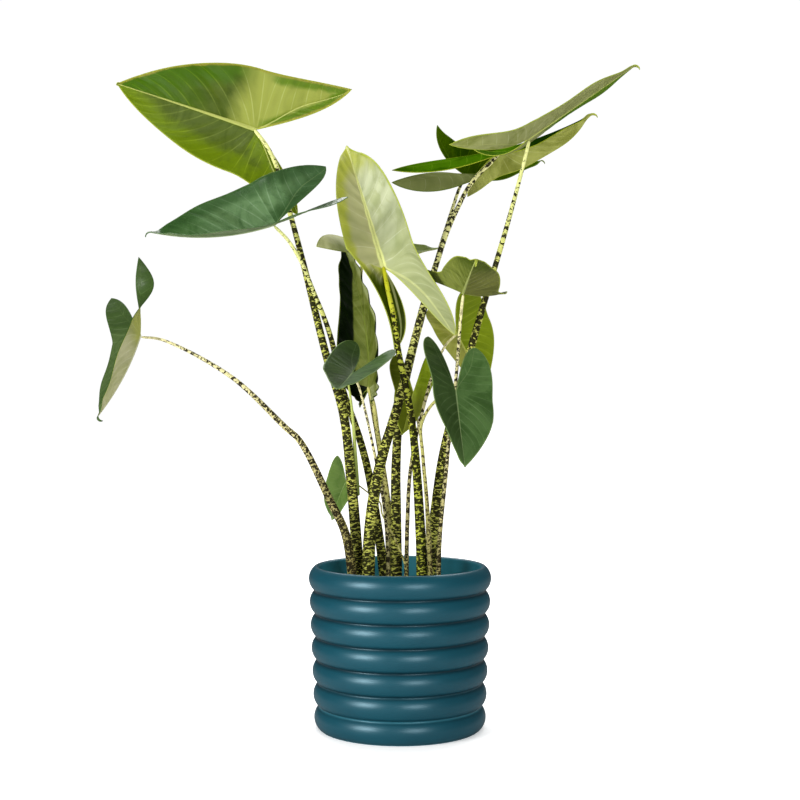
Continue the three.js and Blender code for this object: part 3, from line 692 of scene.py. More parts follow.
    @staticmethod
    def normals(points: Array, side: int) -> Array:
        """Unit normals out of the upper face: the cross product of the row and column steps.

        Args:
            points: grid of places.
            side: 1 for the right half and -1 for the left.

        Returns:
            The normal at each point.
        """
        normals = unit(np.cross(np.gradient(points, axis=0), np.gradient(points, axis=1))) * side
        normals[0], normals[-1] = normals[1], normals[-2]
        return normals

    @staticmethod
    def pitch(points: Array, number: Array) -> Array:
        """Distance between veins: one over the slope of the vein number along the surface.

        Args:
            points: grid of places.
            number: vein number of each point.

        Returns:
            The distance in millimetres.
        """
        du, dv = np.gradient(points, axis=0), np.gradient(points, axis=1)
        nu, nv = np.gradient(number, axis=0), np.gradient(number, axis=1)
        e, f, g = (du * du).sum(-1), (du * dv).sum(-1), (dv * dv).sum(-1)
        area = np.maximum(e * g - f * f, 1e-6)
        slope = np.sqrt(np.maximum((g * nu ** 2 - 2 * f * nu * nv + e * nv ** 2) / area, 1e-8))
        return np.clip(1 / slope, 0.5, 60.0)

    def patches(self, sheet: HalfSheet, tip_out: Array) -> list[Patch]:
        """The skin of one half: its upper face, its ribbed lower face, its rim and the rim of the gap.

        The two faces lie half the thickness from the middle surface along its normals, and the lower one
        also stands out by a bell curve over each rib. One row of points rounds each rim.

        Args:
            sheet: the half.
            tip_out: direction out of the drip tip.

        Returns:
            The four grids.
        """
        half_thick, every, gap = FORM.thickness / 2, slice(None), slice(FORM.origin, None)
        bell = np.exp(-(sheet.rib / (FORM.rib_bell * sheet.rib_half)) ** 2)
        height = FORM.rib_height * sheet.rib_half * bell
        fade = np.clip(sheet.place[..., 2] / FORM.costa_fade, 0.0, 1.0)
        height[FORM.origin + 1:] *= fade[FORM.origin + 1:]
        top = sheet.points + sheet.normals * half_thick
        low = sheet.points - sheet.normals * (half_thick + height)[..., None]
        end_out = unit(sheet.points[-1, FORM.middle] - sheet.points[-2, FORM.middle])
        rim_out = unit(sheet.points[:, -1] - sheet.points[:, -2])
        rim_out[0], rim_out[-1] = tip_out, end_out
        gap_out = unit(sheet.points[gap, 0] - sheet.points[gap, 1])
        gap_out[0], gap_out[-1] = -self.forward, end_out
        rim = np.stack([top[:, -1], sheet.points[:, -1] + rim_out * half_thick, low[:, -1]], 1)
        gap_rim = np.stack([top[gap, 0], sheet.points[gap, 0] + gap_out * half_thick, low[gap, 0]], 1)
        left = sheet.side == -1
        grids = ((top, (every, every), 0, left), (low, (every, every), 1, not left),
                 (rim, (every, [-1] * 3), 0, left), (gap_rim, (gap, [0] * 3), 0, not left))
        return [Patch(grid, sheet.veins[pick], sheet.place[pick], slot, flip)
                for grid, pick, slot, flip in grids]

    def mesh(self, upper: Material, under: Material) -> Piece:
        """Joins both halves along the midrib and closes them to one skin.

        Args:
            upper: material of the upper face and edge.
            under: material of the lower face.

        Returns:
            The blade's object.
        """
        sheets = self.half_sheet(self.leaf.right, 1), self.half_sheet(self.leaf.left, -1)
        midrib = slice(FORM.origin + 1)
        places = sum(sheet.points[midrib, 0] for sheet in sheets) / 2
        normals = unit(sum(sheet.normals[midrib, 0] for sheet in sheets))
        patches: list[Patch] = []
        for sheet in sheets:
            sheet.points[midrib, 0], sheet.normals[midrib, 0] = places, normals
            sheet.points[0], sheet.normals[0] = places[0], normals[0]
            sheet.normals[-1] = sheet.normals[-1, FORM.middle]
            patches += self.patches(sheet, unit(places[0] - places[1]))
        shapes = [patch.points.shape[:2] for patch in patches]
        firsts = np.cumsum([0] + [rows * columns for rows, columns in shapes])
        faces = [grid_faces(*shape, first, flip=patch.flip)
                 for shape, first, patch in zip(shapes, firsts, patches)]
        slots = [np.full(len(quads), patch.slot) for quads, patch in zip(faces, patches)]
        points, veins, place = (np.vstack([getattr(patch, part).reshape(-1, 3) for patch in patches])
                                for part in ("points", "veins", "place"))
        return build_mesh("blade_" + self.leaf.name, points, np.vstack(faces), [upper, under],
                          np.concatenate(slots), {"veins": veins, "place": place})


@dataclass(frozen=True)
class StalkForm:
    """Sizes that all stalks share, in millimetres or in shares of the stalk's length."""

    rings: int = 200
    sides: int = 28
    full_from: float = 0.85
    taper_power: float = 1.1
    seat_forward: float = 2.0
    blade_thickness: float = 1.2
    neck_shrink: float = 0.45
    neck_length: float = 3.0


@dataclass(frozen=True)
class Stalk:
    """A stalk from its seat under the blade down into the soil."""

    leaf: Leaf
    form: StalkForm = StalkForm()

    def mesh(self, finish: Material) -> Piece:
        """Tube along the stalk's smooth route, thinner at the top, and drawn in where it meets the blade.

        Args:
            finish: material of the skin.

        Returns:
            The stalk's object.
        """
        blade, form = Blade(self.leaf), self.form
        top, low = self.leaf.stalk_radius
        seat = (blade.attach + form.seat_forward * blade.forward
                - (top / 2 + form.blade_thickness / 2) * blade.up)
        route, length = smooth_route(np.vstack([seat, np.array(self.leaf.stalk, float)]), form.rings)
        share = length / length[-1]
        radius = top + (low - top) * np.minimum(1.0, share / form.full_from) ** form.taper_power
        radius = radius * (1 - form.neck_shrink * np.exp(-(length / form.neck_length) ** 2))
        points, quads, skin = tube(route, length, radius, form.sides)
        return build_mesh("petiole_" + self.leaf.name, points, quads, [finish], fields={"skin": skin})


# Pot, soil and the new leaf


@dataclass(frozen=True)
class Pot:
    """Ribbed pot: rounded rings stacked from the base to the crest of the rim, in millimetres."""

    rings: int = 7
    pitch: float = 29.0
    depth: float = 7.0
    radius: float = 115.0
    taper: float = 1.14
    crest: float = 4.0
    floor: float = 12.0
    floor_radius: float = 92.0
    corner: float = 12.0
    groove_softness: float = 0.35
    foot: float = 0.15
    segments: int = 200
    steps: int = 18

    @property
    def ring_radius(self) -> float:
        """Radius of a ring's arc, from its chord and its depth."""
        return ((self.pitch / 2) ** 2 + self.depth ** 2) / (2 * self.depth)

    @property
    def half_angle(self) -> float:
        """Half the angle of a ring's arc."""
        return math.asin(self.pitch / 2 / self.ring_radius)

    @property
    def crest_centre(self) -> Array:
        """Centre of the rim's rounded crest, in radius and height."""
        return np.array([self.radius - self.depth - self.crest * math.cos(self.half_angle),
                         self.rings * self.pitch - self.crest * math.sin(self.half_angle)])

    def inner_radius(self, height: Array) -> Array:
        """Radius of the inner wall, which leans evenly from the inner corner to the crest.

        Args:
            height: height above the inner corner.

        Returns:
            The radius there.
        """
        low = self.floor + self.corner
        share = (height - low) / (self.crest_centre[1] - low)
        return self.floor_radius + (self.crest_centre[0] - self.crest - self.floor_radius) * share

    def rings_profile(self) -> Array:
        """Radius and height of the wall's outside.

        Each ring is a circular arc. Where two rings meet, the glaze fills the groove: the radius is the
        soft maximum k ln(sum of e^(r/k)) of all the rings at that height.

        Returns:
            N by 2 array from the base to the last ring's top.
        """
        angles = np.linspace(-self.half_angle, self.half_angle, self.steps, endpoint=False)
        centres = self.pitch * (np.arange(self.rings) + 0.5)
        reach = self.radius - self.taper * (self.rings - 1 - np.arange(self.rings)) - self.ring_radius
        z = (centres[:, None] + self.ring_radius * np.sin(angles)).ravel()
        inside = np.maximum(self.ring_radius ** 2 - (z[:, None] - centres) ** 2, 0.0)
        each = np.where(inside > 0, reach + np.sqrt(inside), 0.0)
        most, k = each.max(axis=1), self.groove_softness
        r = most + k * np.log(np.exp((each - most[:, None]) / k).sum(axis=1))
        return np.stack([r, np.maximum(z, self.foot)], -1)

    def profile(self) -> Array:
        """Profile of the pot from the middle of the base, up the rings and down inside.

        Returns:
            N by 2 array of radius and height.
        """
        outside = self.rings_profile()
        middle = self.floor_radius - self.corner
        corner_centre = np.array([middle, self.floor + self.corner])
        wall_z = np.linspace(self.crest_centre[1] - 2, corner_centre[1] + 1, 30)

        def level(start: float, end: float, count: int, height: float) -> Array:
            """Level run of the profile."""
            return np.stack([np.linspace(start, end, count), np.full(count, height)], -1)

        def bow(centre: Array, radius: float, start: float, end: float, count: int) -> Array:
            """Circular arc of the profile."""
            angle = np.linspace(start, end, count)
            return centre + radius * np.stack([np.cos(angle), np.sin(angle)], -1)

        return np.vstack([
            level(0.0, outside[0, 0] - 0.5, 12, 0.0), outside,
            bow(self.crest_centre, self.crest, self.half_angle, math.pi, 20),
            np.stack([self.inner_radius(wall_z), wall_z], -1),
            bow(corner_centre, self.corner, 0.0, -math.pi / 2, 10),
            level(middle - 5, 0.0, 8, self.floor)])

    def mesh(self, finish: Material) -> Piece:
        """Turns the profile round the axis.

        Args:
            finish: material of the glaze.

        Returns:
            The pot's object.
        """
        radius, height = self.profile().T[..., None]
        points = around(radius, full_turn(self.segments), height)
        return build_mesh("ribbed_pot", points, grid_faces(len(points), self.segments, wrap=True), [finish])


@dataclass(frozen=True)
class Soil:
    """Mound of potting soil inside the pot, with loose crumbs on it, in millimetres."""

    fill_height: float = 160.0
    centre_height: float = 165.0
    mound: float = 6.0
    gap: float = 0.3
    rings: int = 110
    segments: int = 220
    lumps: int = 36
    lump_lengths: tuple[float, float] = (45.0, 3.2)
    lump_height: float = 0.018
    crumbs: int = 420
    crumb_rows: int = 5
    crumb_sides: int = 6
    crumb_size: tuple[float, float] = (0.9, 3.3)
    crumb_margin: float = 6.0
    seed: int = 7

    def height(self, x: Array, y: Array, edge: float) -> Array:
        """Height of the mound: a parabola plus seeded sine waves, which are lower the shorter they are.

        Args:
            x: place across.
            y: place back.
            edge: radius of the soil.

        Returns:
            Height at each place.
        """
        random = np.random.default_rng(self.seed)
        lump = np.zeros_like(x)
        for length in np.geomspace(*self.lump_lengths, self.lumps):
            angle, phase = random.uniform(0, 2 * math.pi, 2)
            along = x * math.cos(angle) + y * math.sin(angle)
            lump = lump + self.lump_height * length * np.sin(2 * math.pi * along / length + phase)
        share = np.clip(np.hypot(x, y) / edge, 0, 1)
        return self.centre_height - self.mound * share ** 2 + lump

    def mesh(self, pot: Pot, finish: Material) -> Piece:
        """Closed mound: a round grid of heights, a wall close inside the pot, and a flat underside.

        Args:
            pot: the pot that holds the soil.
            finish: material of the soil.

        Returns:
            The soil's object, with its crumbs in the same mesh.
        """
        edge = pot.inner_radius(self.fill_height) - self.gap
        radius, angle = edge * np.linspace(0.0, 1.0, self.rings)[:, None], full_turn(self.segments)
        top = around(radius, angle, self.height(radius * np.cos(angle), radius * np.sin(angle), edge))
        bottom, waist = pot.floor + self.gap, 100.0
        below = np.array([(pot.inner_radius(waist) - self.gap, waist),
                          (pot.floor_radius - self.gap, pot.floor + pot.corner),
                          (pot.floor_radius - pot.corner, bottom), (0.0, bottom)])
        points = np.concatenate([top, around(below[:, :1], angle, below[:, 1:])])
        quads = grid_faces(len(points), self.segments, wrap=True, flip=True)
        crumb_points, crumb_quads = self.crumb_grid(edge, points.shape[0] * points.shape[1])
        return build_mesh("potting_soil", np.vstack([points.reshape(-1, 3), crumb_points]),
                          np.vstack([quads, crumb_quads]), [finish])

    def crumb_grid(self, edge: float, first: int) -> tuple[Array, Array]:
        """Crumbs as small lumpy balls of a few points, all worked out as one array.

        Args:
            edge: radius of the soil.
            first: number of the first point.

        Returns:
            Points and quads of all the crumbs.
        """
        random = np.random.default_rng(self.seed + 1)
        small, large = self.crumb_size
        rows, sides = self.crumb_rows, self.crumb_sides
        spot = (edge - self.crumb_margin) * np.sqrt(random.uniform(0, 1, self.crumbs))
        turn = random.uniform(0, 2 * math.pi, self.crumbs)
        size = small + (large - small) * random.uniform(0, 1, self.crumbs) ** 3
        x, y = spot * np.cos(turn), spot * np.sin(turn)
        centre = np.stack([x, y, self.height(x, y, edge) + 0.25 * size], -1)
        tilt = np.linspace(0.0, math.pi, rows)[:, None]
        ball = around(np.sin(tilt), full_turn(sides), np.cos(tilt))
        stretch = random.uniform(0.6, 1.3, (self.crumbs, 1, 1, 3))
        bumpy = random.uniform(0.8, 1.2, (self.crumbs, rows, sides, 1))
        bumpy[:, [0, -1]] = 1.0
        points = centre[:, None, None] + ball * size[:, None, None, None] * stretch * bumpy
        firsts = first + rows * sides * np.arange(self.crumbs)
        quads = grid_faces(rows, sides, wrap=True) + firsts[:, None, None]
        return points.reshape(-1, 3), quads.reshape(-1, 4)


@dataclass(frozen=True)
class NewLeaf:
    """A leaf that is still rolled up, and grows out of the first leaf's stalk to a point."""

    route: tuple[Point, ...] = ((-54, 12, 290), (-55, 11, 313), (-57, 6, 350), (-59, 0, 383),
                                (-62, -6, 414), (-66, -12, 442), (-68, -18, 459))
    root_radius: float = 3.2
    point_radius: float = 0.8
    rings: int = 120
    sides: int = 36
    seam_depth: float = 0.22
    seam_width: float = 0.22
    seam_turns: float = 1.5

    def mesh(self, finish: Material) -> Piece:
        """Tapering tube with a shallow seam that winds round it, where the leaf overlaps.

        The seam is a bell curve across the angle, and its depth rises and falls along the tube by a sine.

        Args:
            finish: material of the skin.

        Returns:
            The new leaf's object.
        """
        route, length = smooth_route(np.array(self.route, float), self.rings)
        share = length / length[-1]
        radius = self.root_radius + (self.point_radius - self.root_radius) * share
        points, quads, skin = tube(route, length, radius, self.sides)
        seam = 2 * math.pi * self.seam_turns * share[:, None]
        gap = np.angle(np.exp(1j * (full_turn(self.sides) - seam)))
        depth = self.seam_depth * radius * np.sin(math.pi * share)
        cut = depth[:, None] * np.exp(-(gap / self.seam_width) ** 2)
        out = unit(points - route[:, None])
        out[0] = out[-1] = 0.0
        points = points - out * cut[..., None]
        return build_mesh("rolled_leaf", points, quads, [finish], fields={"skin": skin})


# Finishes


def linear(colour: Colour) -> tuple[float, ...]:
    """Colour of 0 to 255 screen values as the linear values of a shader."""
    parts = [c / 255 for c in colour]
    return (*[p / 12.92 if p <= 0.04045 else ((p + 0.055) / 1.055) ** 2.4 for p in parts], 1.0)


class Nodes:
    """Writes a shader tree one node at a time, with numbers or links as inputs."""

    def __init__(self, tree: bpy.types.NodeTree) -> None:
        """Keeps the tree."""
        self.tree = tree

    def add(self, kind: str, inputs: dict[str | int, Value] | None = None,
            **settings: object) -> bpy.types.Node:
        """Adds a node, sets its options, and sets or links its inputs.

        Args:
            kind: node type.
            inputs: values or output sockets by input name or number.
            settings: node properties by name.

        Returns:
            The new node.
        """
        node = self.tree.nodes.new(kind)
        for key, value in settings.items():
            setattr(node, key, value)
        for key, value in (inputs or {}).items():
            if isinstance(value, Socket):
                self.tree.links.new(value, node.inputs[key])
            else:
                node.inputs[key].default_value = value
        return node

    def math(self, operation: str, *values: Value) -> Socket:
        """Arithmetic on one to three values."""
        return self.add("ShaderNodeMath", dict(enumerate(values)), operation=operation).outputs[0]

    def times(self, a: Value, b: Value) -> Socket:
        """Product of two values."""
        return self.math("MULTIPLY", a, b)

    def sway(self, mask: Value, size: Value, base: Value) -> Socket:
        """Base plus size times (mask - 0.5), which puts a mask of 0 to 1 to both sides of the base."""
        return self.math("MULTIPLY_ADD", self.math("SUBTRACT", mask, 0.5), size, base)

    def from_whole(self, value: Value) -> Socket:
        """Distance of a value from the nearest whole number."""
        return self.math("ABSOLUTE", self.math("SUBTRACT", value, self.math("ROUND", value)))

    def span(self, value: Value, low: Value, high: Value, to_low: Value = 0.0,
             to_high: Value = 1.0) -> Socket:
        """Smooth step of a value from one range to another."""
        inputs = {"Value": value, "From Min": low, "From Max": high, "To Min": to_low, "To Max": to_high}
        return self.add("ShaderNodeMapRange", inputs, interpolation_type="SMOOTHSTEP").outputs[0]

    def mix(self, share: Value, a: Value, b: Value, blend: str = "MIX") -> Socket:
        """Mixes two colours by a share.

        Args:
            share: share of the second colour.
            a: first colour, as a socket, three screen values or four linear ones.
            b: second colour.
            blend: way of mixing.

        Returns:
            The mixed colour.
        """
        first, second = (linear(c) if isinstance(c, tuple) and len(c) == 3 else c for c in (a, b))
        inputs = {0: share, 6: first, 7: second}
        return self.add("ShaderNodeMix", inputs, data_type="RGBA", blend_type=blend).outputs[2]

    def noise(self, vector: Value, scale: float, detail: float = 2.0, rough: float = 0.5,
              warp: float = 0.0) -> Socket:
        """Soft noise value from 0 to 1."""
        inputs = {"Vector": vector, "Scale": scale, "Detail": detail, "Roughness": rough, "Distortion": warp}
        return self.add("ShaderNodeTexNoise", inputs).outputs["Fac"]

    def attribute(self, name: str) -> Socket:
        """Reads a field of the mesh's points."""
        return self.add("ShaderNodeAttribute", attribute_name=name).outputs["Vector"]

    def place(self) -> Socket:
        """Place on the object in metres."""
        return self.add("ShaderNodeTexCoord").outputs["Object"]

    def scaled(self, vector: Socket, factors: tuple[float, float, float]) -> Socket:
        """Vector with each part times its own factor."""
        return self.add("ShaderNodeVectorMath", {0: vector, 1: factors}, operation="MULTIPLY").outputs[0]

    def length(self, vector: Socket) -> Socket:
        """Length of a vector."""
        return self.add("ShaderNodeVectorMath", {0: vector}, operation="LENGTH").outputs["Value"]

    def split(self, vector: Socket) -> list[Socket]:
        """The three parts of a vector."""
        return list(self.add("ShaderNodeSeparateXYZ", {"Vector": vector}).outputs)

    def join(self, x: Value, y: Value, z: Value) -> Socket:
        """Vector of three parts."""
        return self.add("ShaderNodeCombineXYZ", {0: x, 1: y, 2: z}).outputs[0]


class MaterialNodes(Nodes):
    """Writes the tree of a new material."""

    def __init__(self, name: str) -> None:
        """Makes the material and empties its tree."""
        self.material = bpy.data.materials.new(name)
        self.material.use_nodes = True
        super().__init__(self.material.node_tree)
        self.tree.nodes.clear()

    def surface(self, colour: Value, roughness: Value, bump: tuple[Value, float, float],
                **inputs: Value) -> Socket:
        """Principled surface with a bump.

        Args:
            colour: base colour.
            roughness: roughness.
            bump: height that makes the bump, its strength, and its distance in metres.
            inputs: other inputs, with an underscore for each space in the name.

        Returns:
            The shader.
        """
        height, strength, distance = bump
        normal = self.add("ShaderNodeBump", {"Height": height, "Strength": strength, "Distance": distance})
        named = {key.replace("_", " "): value for key, value in inputs.items()}
        return self.add("ShaderNodeBsdfPrincipled", {
            "Base Color": colour, "Roughness": roughness, "Normal": normal.outputs[0], **named}).outputs[0]

    def done(self, shader: Socket) -> Material:
        """Links the shader to the output and gives the material back."""
        self.add("ShaderNodeOutputMaterial", {"Surface": shader})
        return self.material


class GroupNodes(Nodes):
    """Writes the tree of a new shader node group, whose inputs and outputs are plain values."""

    def __init__(self, name: str, inputs: dict[str, float]) -> None:
        """Makes the group with its inputs and their usual values."""
        super().__init__(bpy.data.node_groups.new(name, "ShaderNodeTree"))
        for key, value in inputs.items():
            self.socket(key, "INPUT").default_value = value
        self.given = self.add("NodeGroupInput").outputs

    def socket(self, name: str, direction: str) -> bpy.types.NodeTreeInterfaceSocket:
        """Makes an input or output of the group."""
        return self.tree.interface.new_socket(name, in_out=direction, socket_type="NodeSocketFloat")

    def done(self, outputs: dict[str, Socket]) -> bpy.types.NodeTree:
        """Makes and links the outputs.

        Args:
            outputs: sockets by the name of the output.

        Returns:
            The finished group.
        """
        for key in outputs:
            self.socket(key, "OUTPUT")
        self.add("NodeGroupOutput", outputs)
        return self.tree


def leaf_pattern_group() -> bpy.types.NodeTree:
    """Masks of a blade from its fields, for all leaves.

    A side vein is where the vein number is near a whole number: its distance is |s - round(s)| times the
    spacing. The folds follow the vein number, so they run beside the side veins. Where the veins crowd,
    both fade out.

    Returns:
        The group, with masks for the ribs, side veins, spaces between veins, patches, folds, grain and
        right half, and the distances from the edge and along the midrib.
    """
    nodes = GroupNodes("leaf_pattern", {"Vein Width": 0.5, "Rib Width": 1.0, "Lobe Rib": 0.3})
    given = nodes.given
    number, pitch, rib = nodes.split(nodes.attribute("veins"))
    place = nodes.attribute("place")
    across, along, edge = nodes.split(place)
    flat = nodes.scaled(place, (1.0, 1.0, 0.0))
    clear = nodes.span(pitch, 3.0, 9.0)
    off = nodes.from_whole(number)
    vein_width = nodes.times(given["Vein Width"], nodes.span(edge, 0.0, 30.0, 0.3, 1.0))
    core, fade = nodes.times(vein_width, 0.3), nodes.times(vein_width, 2.6)
    vein = nodes.math("SUBTRACT", 1.0, nodes.span(nodes.times(off, pitch), core, fade))
    worn = nodes.span(nodes.noise(flat, 0.035, 2.0), 0.38, 0.6, 0.35, 1.0)
    rib_width = nodes.times(given["Rib Width"], nodes.span(along, -4.0, 4.0, 0.45, 1.0))
    from_rib = nodes.math("DIVIDE", nodes.math("ABSOLUTE", rib), rib_width)
    rib_share = nodes.span(along, -12.0, 0.0, given["Lobe Rib"], 1.0)
    right = nodes.span(across, -0.4, 0.4)
    crease = nodes.join(nodes.times(number, 0.9), nodes.times(edge, 0.02), nodes.times(right, 7.0))
    return nodes.done({
        "Rib": nodes.times(nodes.span(from_rib, 0.7, 1.25, 1.0, 0.0), rib_share),
        "Vein": nodes.times(nodes.times(vein, worn), clear),
        "Cell": nodes.times(nodes.times(off, 2.0), clear), "Edge": edge,
        "Patch": nodes.noise(flat, 0.022, 4.0, 0.6, 0.9),
        "Fold": nodes.sway(nodes.noise(crease, 1.0, 2.0), clear, 0.5),
        "Grain": nodes.noise(flat, 0.4, 3.0, 0.6), "Along": along, "Right": right})


@dataclass(frozen=True)
class Tint:
    """A part of a blade with a colour of its own or with painted light or shade: one half, one stretch of its
    length or its margin.

    Side is 1 for the right half, -1 for the left and 0 for both. The stretch runs along the midrib, in
    millimetres from the stalk: no tint at start, the full share at full. Soft is the share of the margin
    over which its tint fades.
    """

    colour: Colour
    share: float = 0.9
    side: int = 0
    start: float = 0.0
    full: float = 0.0
    margin: float = 0.0
    soft: float = 0.7

    def mask(self, nodes: Nodes, out: bpy.types.NodeOutputs) -> Value:
        """Share of the tint at each place, with patchy ends.

        Args:
            nodes: writer of the material's tree.
            out: outputs of the leaf pattern.

        Returns:
            The share as a number or a socket.
        """
        end_sway, margin_sway = 40.0, 2.3
        mask: Value = self.share
        if self.side:
            on_side = out["Right"] if self.side > 0 else nodes.math("SUBTRACT", 1.0, out["Right"])
            mask = nodes.times(mask, on_side)
        if self.start != self.full:
            along = nodes.sway(out["Patch"], end_sway, out["Along"])
            ends = (0.0, 1.0) if self.start < self.full else (1.0, 0.0)
            mask = nodes.times(mask, nodes.span(along, *sorted((self.start, self.full)), *ends))
        if self.margin:
            edge = nodes.sway(out["Patch"], self.margin * margin_sway * self.soft, out["Edge"])
            inner = self.margin * (1 - self.soft)
            mask = nodes.times(mask, nodes.span(edge, inner, self.margin, 1.0, 0.0))
        return mask


@dataclass(frozen=True)
class BladeFinish:
    """Waxy leaf tissue: ground colour with deeper patches, tinted parts, ribs, side veins and a rim, with
    painted shade between the side veins and along the folds.
    """

    ground: Colour
    deep: Colour
    rib: Colour
    rim: Colour
    tints: tuple[Tint, ...] = ()
    vein_share: float = 0.7
    vein_gamma: float = 0.68
    vein_width: float = 0.45
    deep_share: float = 0.8
    # Painted shade of the quilting, in the between colour: darker between the side veins by the first share,
    # and along the folds by folds.
    painted_vein_gap_shade: float = 0.12
    between: tuple[float, ...] = (0.55, 0.6, 0.45, 1.0)
    folds: float = 0.35
    rib_width: float = 1.0
    rib_share: float = 0.95
    lobe_rib: float = 0.3
    rim_width: float = 0.9
    rim_share: float = 0.85
    roughness: float = 0.42
    gloss: float = 0.12
    see_through: float = 0.22
    sunlit: Colour = (214, 226, 96)

    def material(self, name: str, pattern: bpy.types.NodeTree) -> Material:
        """Colours follow the pattern's masks, the surface is waxy, and some light comes through.

        Args:
            name: name of the material.
            pattern: the shared leaf pattern group.

        Returns:
            The material.
        """
        nodes = MaterialNodes(name)
        widths = {"Vein Width": self.vein_width, "Rib Width": self.rib_width, "Lobe Rib": self.lobe_rib}
        out = nodes.add("ShaderNodeGroup", widths, node_tree=pattern).outputs
        patches = nodes.sway(out["Grain"], 0.12, out["Patch"])
        colour = nodes.mix(nodes.span(patches, 0.42, 0.62, 0.0, self.deep_share), self.ground, self.deep)
        for tint in self.tints:
            colour = nodes.mix(tint.mask(nodes, out), colour, tint.colour)
        # Painted shade of the quilting: darker between the side veins and along the folds.
        dark = nodes.mix(1.0, colour, self.between, "MULTIPLY")
        colour = nodes.mix(nodes.span(out["Cell"], 0.25, 1.0, 0.0, self.painted_vein_gap_shade), colour, dark)
        colour = nodes.mix(nodes.span(out["Fold"], 0.42, 0.7, 0.0, self.folds), colour, dark)
        light = nodes.add("ShaderNodeGamma", {"Color": colour, "Gamma": self.vein_gamma}).outputs[0]
        colour = nodes.mix(nodes.times(out["Vein"], self.vein_share), colour, light)
        colour = nodes.mix(nodes.times(out["Rib"], self.rib_share), colour, self.rib)
        rim = nodes.span(out["Edge"], self.rim_width * 0.5, self.rim_width * 1.4, 1.0, 0.0)
        colour = nodes.mix(nodes.times(rim, self.rim_share), colour, self.rim)
        height = nodes.math("MULTIPLY_ADD", out["Grain"], 0.03, out["Fold"])
        shine = nodes.span(out["Patch"], 0.35, 0.65, self.roughness - 0.05, self.roughness + 0.07)
        shader = nodes.surface(colour, shine, (height, 0.5, 0.0035), IOR=1.42, Specular_IOR_Level=self.gloss)
        glow = nodes.mix(0.35, colour, self.sunlit, "MULTIPLY")
        through = nodes.add("ShaderNodeBsdfTranslucent", {"Color": glow}).outputs[0]
        both = nodes.add("ShaderNodeMixShader", {0: self.see_through, 1: shader, 2: through}).outputs[0]
        return nodes.done(both)


YELLOW_RIM: Colour = (172, 184, 70)

